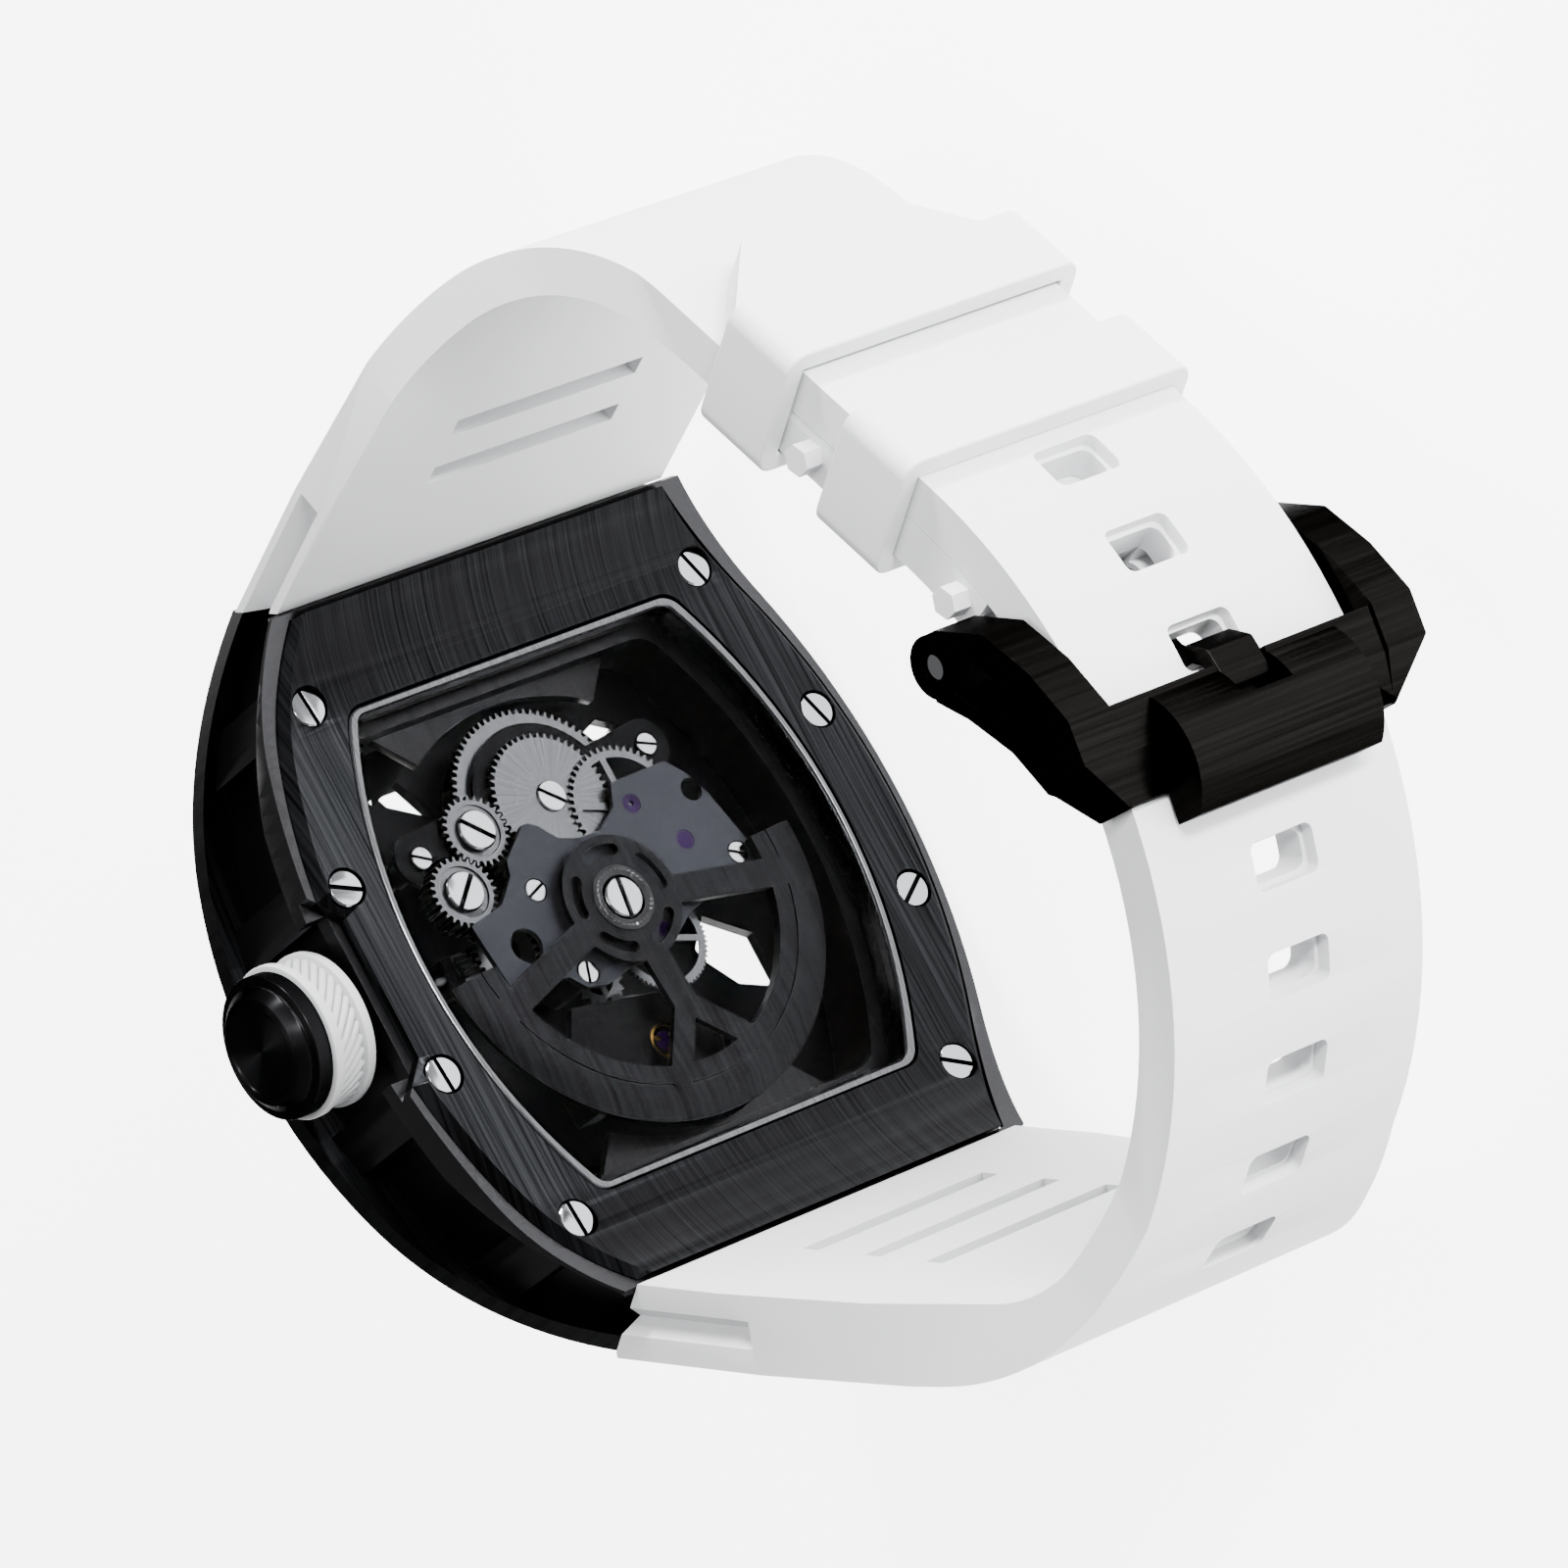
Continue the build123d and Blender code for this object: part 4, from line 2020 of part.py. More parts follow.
head_sink = bridge_screw_height
with BuildPart() as bridge_screws:
    for number, place in enumerate(train_bridge_feet):
        turn = bridge_slot_turns[number]
        screw = slotted_screw(
            bridge_screw_radius, head_sink, bridge_shank_radius, bridge_shank_length, turn
        )
        with Locations(level(train_bridge_depth).location * Pos(*place, 0)):
            add(screw)
    screw = slotted_screw(bridge_screw_radius, head_sink, bridge_shank_radius, bridge_shank_length)
    with Locations(level(cock_depth).location * Pos(*cock_foot_place, 0)):
        add(screw)
    for place in barrel_bridge_feet:
        screw = slotted_screw(
            bridge_screw_radius, head_sink, bridge_shank_radius, bridge_shank_length, wheel_slot_turn / 2
        )
        with Locations(level(barrel_bridge_depth - head_sink).location * Pos(*place, 0)):
            add(screw)
write_piece(bridge_screws, "bridge_screws")

# Shouldered screws that carry the three small winding wheels, and the posts they go into
post_top = crown_wheel_depth + crown_wheel_thickness + slip
shoulder_screws = [
    (intermediate_place, winding_wheel_depth, wheel_screw_radius, barrel_bridge_depth, wheel_dish_depth),
    (transfer_place, winding_wheel_depth, wheel_screw_radius, post_top, wheel_dish_depth),
    (crown_wheel_place, crown_wheel_depth, crown_wheel_screw_radius, post_top, 0.0),
]
with BuildPart() as winding_wheel_axles:
    with BuildSketch(level(post_top)):
        with Locations(transfer_place, crown_wheel_place):
            Circle(winding_post_radius)
            Circle(bridge_shank_radius, mode=Mode.SUBTRACT)
    extrude(amount=main_plate_depth - post_top)
    for number, (place, wheel_top, head_radius, seat, dish) in enumerate(shoulder_screws):
        head_under = wheel_top + dish - slip
        head_top = head_under - wheel_screw_height - dish
        screw = slotted_screw(
            head_radius, head_under - head_top, post_radius, seat - head_under, 90 * number + wheel_slot_turn
        )
        with Locations(level(head_top).location * Pos(*place, 0)):
            add(screw)
        with BuildSketch(level(seat)):
            with Locations(place):
                Circle(bridge_shank_radius)
        extrude(amount=barrel_bridge_thickness)
write_piece(winding_wheel_axles, "winding_wheel_axles")

motion_place = polar(motion_distance, motion_angle)
holder_inner_plan = tonneau(
    holder_inner_half_length, holder_inner_mid_half_width, holder_inner_end_half_width, cavity_corner
)
main_plate_plan = tonneau(
    holder_inner_half_length - slip,
    holder_inner_mid_half_width - slip,
    holder_inner_end_half_width - slip,
    cavity_corner,
)
with BuildPart() as main_plate:
    with BuildSketch(level(main_plate_depth)):
        add(main_plate_plan)
        for points in plate_openings:
            add(plan_polygon(points), mode=Mode.SUBTRACT)
        Circle(centre_arbor_radius + running_gap, mode=Mode.SUBTRACT)
    extrude(amount=main_plate_thickness)
    # Blocks that carry the stem on both sides of the winding pinion
    for start, length in stem_blocks:
        with BuildSketch(Plane.XY.offset(start)):
            with Locations((0, -(stem_depth + main_plate_depth) / 2)):
                Rectangle(stem_block_width, main_plate_depth - stem_depth + 2 * stem_block_rise)
            with Locations((0, -stem_depth)):
                Circle(stem_radius + running_gap, mode=Mode.SUBTRACT)
        extrude(amount=length)
    with BuildSketch(level(main_plate_depth + main_plate_thickness)):
        with Locations(motion_place):
            Circle(motion_post_radius)
    extrude(amount=dial_depth - slip - main_plate_depth - main_plate_thickness)
write_piece(main_plate, "main_plate")

with BuildSketch() as holder_view:
    Rectangle(2 * cavity_half_length, 4 * front_depth)
    with BuildLine():
        front_curve(bezel_thickness + slip, case_draw_length)
        corner = front_end(1, case_draw_length, bezel_thickness + slip)
        Line(corner, (corner[0], -2 * front_depth))
        Line((corner[0], -2 * front_depth), (-corner[0], -2 * front_depth))
        Line((-corner[0], -2 * front_depth), (-corner[0], corner[1]))
    make_face(mode=Mode.SUBTRACT)

cavity_fit_plan = tonneau(
    cavity_half_length - slip, cavity_mid_half_width - slip, cavity_end_half_width - slip, cavity_corner
)
with BuildPart() as movement_ring:
    with BuildSketch(level(holder_top_depth)):
        add(cavity_fit_plan)
        add(holder_inner_plan, mode=Mode.SUBTRACT)
    extrude(amount=dial_depth - holder_top_depth)
    with BuildSketch(level(main_plate_depth + main_plate_thickness)):
        add(tonneau_ring(cavity_fit_plan, tonneau(*dial_ledge_sizes, cavity_corner)))
    extrude(amount=dial_depth - main_plate_depth - main_plate_thickness)
    with BuildSketch(level(holder_depth)):
        for side in (1, -1):
            add(plan_polygon([(side * x, z) for x, z in end_plate_points]))
        add(cavity_fit_plan, mode=Mode.INTERSECT)
        Circle(end_plate_arch_radius, mode=Mode.SUBTRACT)
        with Locations(*end_plate_holes):
            Circle(end_plate_hole_radius, mode=Mode.SUBTRACT)
    extrude(amount=end_plate_thickness)
    with BuildSketch(Plane.XY):
        add(holder_view.sketch)
    extrude(amount=case_mid_half_width, both=True, mode=Mode.INTERSECT)
    with BuildSketch(crown_axis.offset(holder_inner_mid_half_width - cut_overrun)):
        Circle(stem_radius + 2 * slip)
    extrude(amount=case_mid_half_width, mode=Mode.SUBTRACT)
write_piece(movement_ring, "movement_ring")


# Rotor


def arc_slot(radius, width, angle, arc):
    """A curved slot about the origin."""
    with BuildSketch() as face:
        with BuildLine() as middle_line:
            ThreePointArc(*[polar(radius, angle + share * arc) for share in (-0.5, 0.0, 0.5)])
        trace(middle_line.line, line_width=width)
        with Locations(polar(radius, angle - arc / 2), polar(radius, angle + arc / 2)):
            Circle(width / 2)
    return face.sketch


rim_turn = radians(rotor_turn + rotor_rim_angle)
rim_plane = Plane(
    origin=(0, 0, 0), x_dir=(cos(rim_turn), 0, sin(rim_turn)), z_dir=(-sin(rim_turn), 0, cos(rim_turn))
)
line_in = rotor_rim_line - rotor_line_width / 2
line_out = rotor_rim_line + rotor_line_width / 2
rim_under = rotor_depth + rotor_rim_thickness
with BuildPart() as rotor:
    with BuildSketch(level(rotor_depth)):
        Circle(rotor_hub_radius)
        for side in (1, -1):
            arm_end = polar(rotor_rim_inner + rotor_arm_width / 2, rotor_turn + side * rotor_arm_angle)
            add(bar_outline((0, 0), arm_end, rotor_arm_width))
            fork_end = polar(rotor_rim_inner + rotor_arm_width / 2, rotor_turn + side * fork_angle)
            add(bar_outline(polar(fork_radius, rotor_turn), fork_end, fork_width_at_rim))
        add(bar_outline((0, 0), polar(fork_radius, rotor_turn), rotor_arm_width))
        Circle(bearing_radius, mode=Mode.SUBTRACT)
        for slot in range(rotor_slots):
            slot_angle = 180 + 360 * slot / rotor_slots
            add(
                arc_slot(rotor_slot_radius, rotor_slot_width, slot_angle, rotor_slot_arc),
                mode=Mode.SUBTRACT,
            )
    extrude(amount=rotor_arm_thickness)
    with BuildSketch(rim_plane):
        with BuildLine():
            Polyline(
                (rotor_rim_inner, -rotor_depth),
                (line_in, -rotor_depth),
                (line_in, -rotor_depth - rotor_line_depth),
                (line_out, -rotor_depth - rotor_line_depth),
                (line_out, -rotor_depth),
                (rotor_rim_top, -rotor_depth),
                (rotor_rim_outer, -rotor_depth - rotor_rim_thickness / 2),
                (rotor_rim_outer, -rim_under),
                (rotor_rim_inner, -rim_under),
                close=True,
            )
        make_face()
    revolve(axis=Axis.Y, revolution_arc=2 * rotor_rim_angle)
write_piece(rotor, "rotor")

bearing_top = rotor_depth - (bearing_height - rotor_arm_thickness) / 2
with BuildPart() as rotor_bearing:
    with BuildSketch(level(bearing_top)):
        Circle(bearing_radius)
        Circle(bearing_inner_radius, mode=Mode.SUBTRACT)
    extrude(amount=bearing_height)
write_piece(rotor_bearing, "rotor_bearing")

core_top = screw_top_depth + rotor_screw_height
with BuildPart() as rotor_axle:
    with BuildSketch(level(core_top)):
        Circle(bearing_inner_radius - running_gap)
        Circle(rotor_screw_shank_radius, mode=Mode.SUBTRACT)
    extrude(amount=train_bridge_depth - core_top)
    rotor_screw = slotted_screw(
        rotor_screw_radius,
        rotor_screw_height,
        rotor_screw_shank_radius,
        bridge_under - core_top,
        rotor_slot_turn,
    )
    with Locations(level(screw_top_depth).location):
        add(rotor_screw)
write_piece(rotor_axle, "rotor_axle")


# Motion work, dial and hands

cannon_radius = motion_distance * cannon_teeth / (cannon_teeth + minute_wheel_teeth)
minute_wheel_radius = motion_distance - cannon_radius
minute_pinion_radius = motion_distance * minute_pinion_teeth / (minute_pinion_teeth + hour_wheel_teeth)
hour_wheel_radius = motion_distance - minute_pinion_radius
minute_wheel_turn = meshing_turn(cannon_teeth, 0.0, motion_angle, minute_wheel_teeth)
hour_wheel_turn = meshing_turn(minute_pinion_teeth, 0.0, motion_angle + 180, hour_wheel_teeth)

with BuildPart() as cannon_pinion:
    face = spoked_face(pointed_outline(cannon_teeth, cannon_radius), 0, 0, 0, 0, 0, 0)
    add(wheel_at(cannon_depth, (0, 0), motion_wheel_thickness, face))
    pipe_start = cannon_depth + motion_wheel_thickness
    add(round_at(pipe_start, (0, 0), cannon_pipe_radius, minute_hand_depth + hand_thickness - pipe_start))
    add(round_at(cannon_depth - slip, (0, 0), centre_arbor_radius, front_depth), mode=Mode.SUBTRACT)
write_piece(cannon_pinion, "cannon_pinion")

with BuildPart() as minute_wheel:
    motion_bore = motion_post_radius + running_gap
    outline = pointed_outline(minute_wheel_teeth, minute_wheel_radius)
    face = spoked_face(outline, 0, 0, 0, 0, motion_bore, minute_wheel_turn)
    add(wheel_at(cannon_depth, motion_place, motion_wheel_thickness, face))
    outline = pointed_outline(minute_pinion_teeth, minute_pinion_radius)
    face = spoked_face(outline, 0, 0, 0, 0, motion_bore, 0)
    pinion_start = cannon_depth + motion_wheel_thickness
    pinion_length = hour_wheel_depth + motion_wheel_thickness - pinion_start
    add(wheel_at(pinion_start, motion_place, pinion_length, face))
write_piece(minute_wheel, "minute_wheel")

with BuildPart() as hour_wheel:
    face = spoked_face(pointed_outline(hour_wheel_teeth, hour_wheel_radius), 0, 0, 0, 0, 0, hour_wheel_turn)
    add(wheel_at(hour_wheel_depth, (0, 0), motion_wheel_thickness, face))
    pipe_start = hour_wheel_depth + motion_wheel_thickness
    add(round_at(pipe_start, (0, 0), hour_pipe_radius, hour_hand_depth + hand_thickness - pipe_start))
    add(
        round_at(hour_wheel_depth - slip, (0, 0), cannon_pipe_radius + running_gap, front_depth),
        mode=Mode.SUBTRACT,
    )
write_piece(hour_wheel, "hour_wheel")

dial_plan = tonneau(*dial_sizes, cavity_corner)
dial_inner_plan = tonneau(*dial_inner_sizes, cavity_corner)
# The markers stand midway between the dial's opening and the chapter ring
marker_sizes = [(inner + outer) / 2 for inner, outer in zip(dial_inner_sizes, chapter_inner_sizes)]
with BuildPart() as dial:
    with BuildSketch(level(dial_depth)):
        add(tonneau_ring(dial_plan, dial_inner_plan))
        for angle in dial_spoke_angles:
            add(bar_outline((0, 0), polar(dial_spoke_length, angle), dial_spoke_width))
        Circle(dial_hub_radius)
        Circle(hour_pipe_radius + 2 * slip, mode=Mode.SUBTRACT)
    extrude(amount=dial_thickness)
write_piece(dial, "dial")

with BuildPart() as dial_markers:
    with BuildSketch(level(dial_depth + dial_thickness)):
        for mark in range(hour_marks):
            mark_angle = 360 * mark / hour_marks
            place = polar(tonneau_reach(marker_sizes, mark_angle), mark_angle)
            with Locations(Pos(*place) * Rotation(0, 0, mark_angle)):
                Rectangle(marker_length, marker_width)
    extrude(amount=marker_height)
write_piece(dial_markers, "dial_markers")

with BuildPart() as chapter_ring:
    ring_view = front_shell(bezel_thickness, bezel_thickness + front_depth / 3, dial_sizes[0])
    with BuildSketch(Plane.XY):
        add(ring_view)
        with Locations((0, -(dial_depth + dial_thickness) + front_depth)):
            Rectangle(4 * front_depth, 2 * front_depth, mode=Mode.SUBTRACT)
    extrude(amount=case_mid_half_width, both=True)
    with BuildSketch(level(-front_depth)):
        add(tonneau_ring(dial_plan, tonneau(*chapter_inner_sizes, cavity_corner)))
    extrude(amount=3 * front_depth, mode=Mode.INTERSECT)
write_piece(chapter_ring, "chapter_ring")

hands = {
    "hour_hand": (hour_hand_depth, hour_hand_length, hour_hand_width, hour_hand_angle, hour_pipe_radius),
    "minute_hand": (
        minute_hand_depth,
        minute_hand_length,
        minute_hand_width,
        minute_hand_angle,
        cannon_pipe_radius,
    ),
    "second_hand": (second_hand_depth, second_hand_length, second_hand_width, second_hand_angle, 0),
}
for name, (depth, length, width, angle, bore) in hands.items():
    with BuildPart() as hand:
        with BuildSketch(level(depth)):
            add(bar_outline(polar(hand_tail_share * length, angle + 180), polar(length, angle), width))
            Circle(bore + hand_boss_wall)
            if bore:
                Circle(bore, mode=Mode.SUBTRACT)
        extrude(amount=hand_thickness)
    write_piece(hand, name)
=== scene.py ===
"""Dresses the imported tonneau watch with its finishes, moulded rubber, light and camera."""

from __future__ import annotations

import json
import logging
import math
from dataclasses import dataclass
from enum import Enum

import bmesh
import bpy
from mathutils import Matrix, Vector

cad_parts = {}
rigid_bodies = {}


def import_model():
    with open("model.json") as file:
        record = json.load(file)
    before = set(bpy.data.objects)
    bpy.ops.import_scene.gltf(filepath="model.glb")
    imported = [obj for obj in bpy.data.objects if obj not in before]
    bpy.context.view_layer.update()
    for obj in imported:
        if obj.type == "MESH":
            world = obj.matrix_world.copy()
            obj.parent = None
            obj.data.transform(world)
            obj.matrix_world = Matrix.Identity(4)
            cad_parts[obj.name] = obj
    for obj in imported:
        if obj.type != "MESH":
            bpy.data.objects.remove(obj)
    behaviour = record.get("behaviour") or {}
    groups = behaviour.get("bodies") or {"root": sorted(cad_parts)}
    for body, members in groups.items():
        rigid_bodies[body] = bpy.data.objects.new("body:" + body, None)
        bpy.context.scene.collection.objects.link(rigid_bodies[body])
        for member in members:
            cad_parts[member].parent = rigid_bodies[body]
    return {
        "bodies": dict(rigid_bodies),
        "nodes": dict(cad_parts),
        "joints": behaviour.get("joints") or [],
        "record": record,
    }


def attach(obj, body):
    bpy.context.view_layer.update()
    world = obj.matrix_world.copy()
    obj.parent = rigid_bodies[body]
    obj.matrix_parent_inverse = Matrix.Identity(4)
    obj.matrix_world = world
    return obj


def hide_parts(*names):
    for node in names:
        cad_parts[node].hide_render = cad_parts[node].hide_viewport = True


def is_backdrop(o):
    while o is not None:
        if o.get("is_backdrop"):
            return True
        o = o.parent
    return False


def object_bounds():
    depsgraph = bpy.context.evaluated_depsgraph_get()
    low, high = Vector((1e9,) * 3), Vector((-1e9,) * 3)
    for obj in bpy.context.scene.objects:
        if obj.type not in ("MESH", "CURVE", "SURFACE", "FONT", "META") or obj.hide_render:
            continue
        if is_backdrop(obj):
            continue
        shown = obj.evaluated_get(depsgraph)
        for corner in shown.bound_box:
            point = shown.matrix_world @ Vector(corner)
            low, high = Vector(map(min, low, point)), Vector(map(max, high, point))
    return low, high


LOG = logging.getLogger("tonneau_watch")
MM = 0.001
SMOOTH_DEGREES = 35.0
Triple = tuple[float, float, float]


class Grain(Enum):
    """The axis that a finish's scratches run along where its shine isn't stretched."""

    ALONG_X = "x"
    NONE = "none"


def new_node(
    tree: bpy.types.NodeTree,
    kind: str,
    values: dict[str | int, object] | None = None,
    **settings: object,
) -> bpy.types.Node:
    """Adds a node with its settings and the values of its unlinked inputs.

    Args:
        tree: The node tree.
        kind: The node's type.
        values: Values of inputs, by name or number.
        settings: The node's own properties.

    Returns:
        The node.
    """
    node = tree.nodes.new(kind)
    for name, setting in settings.items():
        setattr(node, name, setting)
    set_inputs(node, values or {})
    return node


def set_inputs(node: bpy.types.Node, values: dict[str | int, object]) -> None:
    """Sets several inputs of a node.

    Args:
        node: The node.
        values: The values, by the inputs' names or numbers.
    """
    for name, value in values.items():
        node.inputs[name].default_value = value


def add_bump(
    tree: bpy.types.NodeTree,
    noise: bpy.types.Node,
    shader: bpy.types.Node,
    strength: float,
    height_mm: float,
) -> None:
    """Lets a noise raise the shader's surface.

    Args:
        tree: The material's node tree.
        noise: The noise node.
        shader: The shader.
        strength: How strongly it shows.
        height_mm: How high the noise reaches.
    """
    bump = new_node(tree, "ShaderNodeBump", {"Strength": strength, "Distance": height_mm * MM})
    tree.links.new(noise.outputs["Fac"], bump.inputs["Height"])
    tree.links.new(bump.outputs["Normal"], shader.inputs["Normal"])


@dataclass(frozen=True)
class Finish:
    """A named finish whose material is built once."""

    name: str
    colour: Triple

    def shade(self, tree: bpy.types.NodeTree, shader: bpy.types.Node) -> None:
        """Sets up everything but the colour, in each kind's own way.

        Args:
            tree: The material's node tree.
            shader: Its Principled BSDF.
        """
        raise NotImplementedError

    def material(self) -> bpy.types.Material:
        """Builds the material, or finds the one that was built before.

        Returns:
            The material.
        """
        made = bpy.data.materials.get(f"finish_{self.name}")
        if made is None:
            made = bpy.data.materials.new(f"finish_{self.name}")
            made.use_nodes = True
            shader = made.node_tree.nodes["Principled BSDF"]
            shader.inputs["Base Color"].default_value = (*self.colour, 1.0)
            self.shade(made.node_tree, shader)
        return made


@dataclass(frozen=True)
class Metal(Finish):
    """A metal or paint finish: coated or bare, brushed, turned, blasted or polished.

    A brushed finish names the axis across its scratches in stretch_along, and its shine is
    stretched that way. A turned one gives the lathe's centre instead.
    """

    roughness: float
    scratch_depth: float = 0.0
    colour_swing: float = 0.0
    grain: Grain = Grain.NONE
    fine_scale: float = 9000.0
    long_scale: float = 160.0
    scratch_height_mm: float = 0.02
    noise_detail: float = 3.0
    noise_range: tuple[float, float] = (0.3, 0.7)
    metallic: float = 1.0
    edge_tint: float = 1.0
    anisotropy: float = 0.9
    stretch_along: Triple | None = None
    sun_centre_mm: tuple[float, float] | None = None
    turned_centre_mm: tuple[float, float] | None = None

    def shade(self, tree: bpy.types.NodeTree, shader: bpy.types.Node) -> None:
        """Sets up the shine, the way it is stretched and the scratches.

        Args:
            tree: The material's node tree.
            shader: Its Principled BSDF.
        """
        tint = (self.edge_tint, self.edge_tint, self.edge_tint, 1.0)
        shine = {"Metallic": self.metallic, "Roughness": self.roughness, "Specular Tint": tint}
        set_inputs(shader, shine)
        if self.stretch_along is not None or self.turned_centre_mm is not None:
            shader.inputs["Anisotropic"].default_value = self.anisotropy
            tree.links.new(self.tangent(tree), shader.inputs["Tangent"])
        if self.scratch_depth > 0.0:
            self.scratch(tree, shader)

    def tangent(self, tree: bpy.types.NodeTree) -> bpy.types.NodeSocket:
        """Finds the way the shine is stretched: across scratches, or out from a lathe's axis.

        Args:
            tree: The material's node tree.

        Returns:
            The socket with that way.
        """
        spaces = {"convert_from": "OBJECT", "convert_to": "WORLD"}
        across = new_node(tree, "ShaderNodeVectorTransform", vector_type="VECTOR", **spaces)
        if self.stretch_along is not None:
            across.inputs["Vector"].default_value = self.stretch_along
            return across.outputs["Vector"]
        x_mm, y_mm = self.turned_centre_mm
        centre, level = (x_mm * MM, y_mm * MM, 0.0), (1.0, 1.0, 0.0)
        place = new_node(tree, "ShaderNodeTexCoord")
        outwards = new_node(tree, "ShaderNodeVectorMath", {1: centre}, operation="SUBTRACT")
        flat = new_node(tree, "ShaderNodeVectorMath", {1: level}, operation="MULTIPLY")
        tree.links.new(place.outputs["Object"], outwards.inputs[0])
        tree.links.new(outwards.outputs["Vector"], flat.inputs[0])
        tree.links.new(flat.outputs["Vector"], across.inputs["Vector"])
        return across.outputs["Vector"]

    def scales(self) -> Triple:
        """Finds how fast the scratches' noise changes along each axis.

        Returns:
            The scales along X, Y and Z, per metre.
        """
        if self.stretch_along is not None:
            fine = [share > 0.0 for share in self.stretch_along]
        else:
            fine = [axis != self.grain.value for axis in "xyz"]
        return tuple(self.fine_scale if quick else self.long_scale for quick in fine)

    def sunray(self, tree: bpy.types.NodeTree, place: bpy.types.Node) -> bpy.types.Node:
        """Turns the scratches into rays about a wheel's axle.

        Args:
            tree: The material's node tree.
            place: The mapping node that takes the object's coordinates.

        Returns:
            The node whose Vector runs along the angle only.
        """
        x_mm, z_mm = self.sun_centre_mm
        upright = (math.radians(90.0), 0.0, 0.0)
        centre = (-x_mm * MM, z_mm * MM, 0.0)
        set_inputs(place, {"Scale": (1.0, 1.0, 1.0), "Rotation": upright, "Location": centre})
        angle = new_node(tree, "ShaderNodeTexGradient", gradient_type="RADIAL")
        spread = new_node(tree, "ShaderNodeMath", {1: self.fine_scale}, operation="MULTIPLY")
        rays = new_node(tree, "ShaderNodeCombineXYZ")
        tree.links.new(place.outputs["Vector"], angle.inputs["Vector"])
        tree.links.new(angle.outputs["Fac"], spread.inputs[0])
        tree.links.new(spread.outputs["Value"], rays.inputs["X"])
        return rays

    def scratch(self, tree: bpy.types.NodeTree, shader: bpy.types.Node) -> None:
        """Adds the scratches, as relief and as a swing in the colour.

        Args:
            tree: The material's node tree.
            shader: Its Principled BSDF.
        """
        place = new_node(tree, "ShaderNodeTexCoord")
        lines = new_node(tree, "ShaderNodeMapping", {"Scale": self.scales()})
        tree.links.new(place.outputs["Object"], lines.inputs["Vector"])
        if self.sun_centre_mm is not None:
            lines = self.sunray(tree, lines)
        noise = new_node(tree, "ShaderNodeTexNoise", {"Scale": 1.0, "Detail": self.noise_detail})
        tree.links.new(lines.outputs["Vector"], noise.inputs["Vector"])
        add_bump(tree, noise, shader, self.scratch_depth, self.scratch_height_mm)
        if self.colour_swing > 0.0:
            low, high = self.noise_range
            values = {"From Min": low, "From Max": high}
            values |= {"To Min": 1.0 - self.colour_swing, "To Max": 1.0 + self.colour_swing}
            ramp = new_node(tree, "ShaderNodeMapRange", values)
            tint = new_node(tree, "ShaderNodeVectorMath", {0: self.colour}, operation="SCALE")
            tree.links.new(noise.outputs["Fac"], ramp.inputs["Value"])
            tree.links.new(ramp.outputs["Result"], tint.inputs["Scale"])
            tree.links.new(tint.outputs["Vector"], shader.inputs["Base Color"])


@dataclass(frozen=True)
class Rubber(Finish):
    """A moulded rubber finish with a faint grain and a little light under its skin."""

    roughness: float = 0.62
    skin_share: float = 0.08
    skin_reach: Triple = (1.0, 0.9, 0.8)
    skin_mm: float = 0.4
    grain_scale: float = 2600.0
    grain_depth: float = 0.12
    grain_height_mm: float = 0.03
    grain_detail: float = 2.0

    def shade(self, tree: bpy.types.NodeTree, shader: bpy.types.Node) -> None:
        """Sets up the skin and its grain.

        Args:
            tree: The material's node tree.
            shader: Its Principled BSDF.
        """
        skin = {"Subsurface Weight": self.skin_share, "Subsurface Radius": self.skin_reach}
        skin |= {"Subsurface Scale": self.skin_mm * MM}
        set_inputs(shader, {"Roughness": self.roughness, **skin})
        place = new_node(tree, "ShaderNodeTexCoord")
        grain = {"Scale": self.grain_scale, "Detail": self.grain_detail}
        noise = new_node(tree, "ShaderNodeTexNoise", grain)
        tree.links.new(place.outputs["Object"], noise.inputs["Vector"])
        add_bump(tree, noise, shader, self.grain_depth, self.grain_height_mm)


@dataclass(frozen=True)
class Clear(Finish):
    """A clear or tinted see-through finish."""

    roughness: float = 0.0
    ior: float = 1.45
    transmission: float = 1.0

    def shade(self, tree: bpy.types.NodeTree, shader: bpy.types.Node) -> None:
        """Sets up how light passes through.

        Args:
            tree: The material's node tree, not used, as it needs no other node.
            shader: Its Principled BSDF.
        """
        passing = {"IOR": self.ior, "Transmission Weight": self.transmission}
        set_inputs(shader, {"Roughness": self.roughness, **passing})


ALONG_THE_STRAP = (1.0, 0.0, 0.0)
ACROSS_THE_STRAP = (0.0, 0.0, 1.0)
COATED_BRUSHED = Metal(
    "coated_brushed",
    (0.0046, 0.0048, 0.0053),
    roughness=0.36,
    scratch_depth=0.35,
    colour_swing=0.9,
    fine_scale=5200.0,
    long_scale=50.0,
    edge_tint=0.7,
    stretch_along=ACROSS_THE_STRAP,
)
COATED_BLASTED = Metal("coated_blasted", (0.022, 0.022, 0.0235), 0.34, 0.2, 0.1, edge_tint=0.6)
CROWN_CAP_BLACK = Metal(
    "crown_cap_black", (0.007, 0.007, 0.0075), 0.36, edge_tint=0.4, turned_centre_mm=(0.0, -5.9)
)
MIRROR_STEEL = Metal("mirror_steel", (0.05, 0.051, 0.054), 0.2, 0.2, 0.3, Grain.ALONG_X)
SCREW_STEEL = Metal("screw_steel", (0.2, 0.205, 0.213), 0.12)
# Painted shade: a dark, rough finish on the slot floors, where the slots' own shade falls.
SLOT_PAINTED_SHADE = Metal("slot_painted_shade", (0.002, 0.002, 0.0022), 0.6)
SATIN_STEEL = Metal("satin_steel", (0.05, 0.0515, 0.055), 0.28, 0.15, 0.15)
TRAIN_STEEL = Metal("train_steel", (0.045, 0.0465, 0.05), 0.3, 0.1, 0.1)
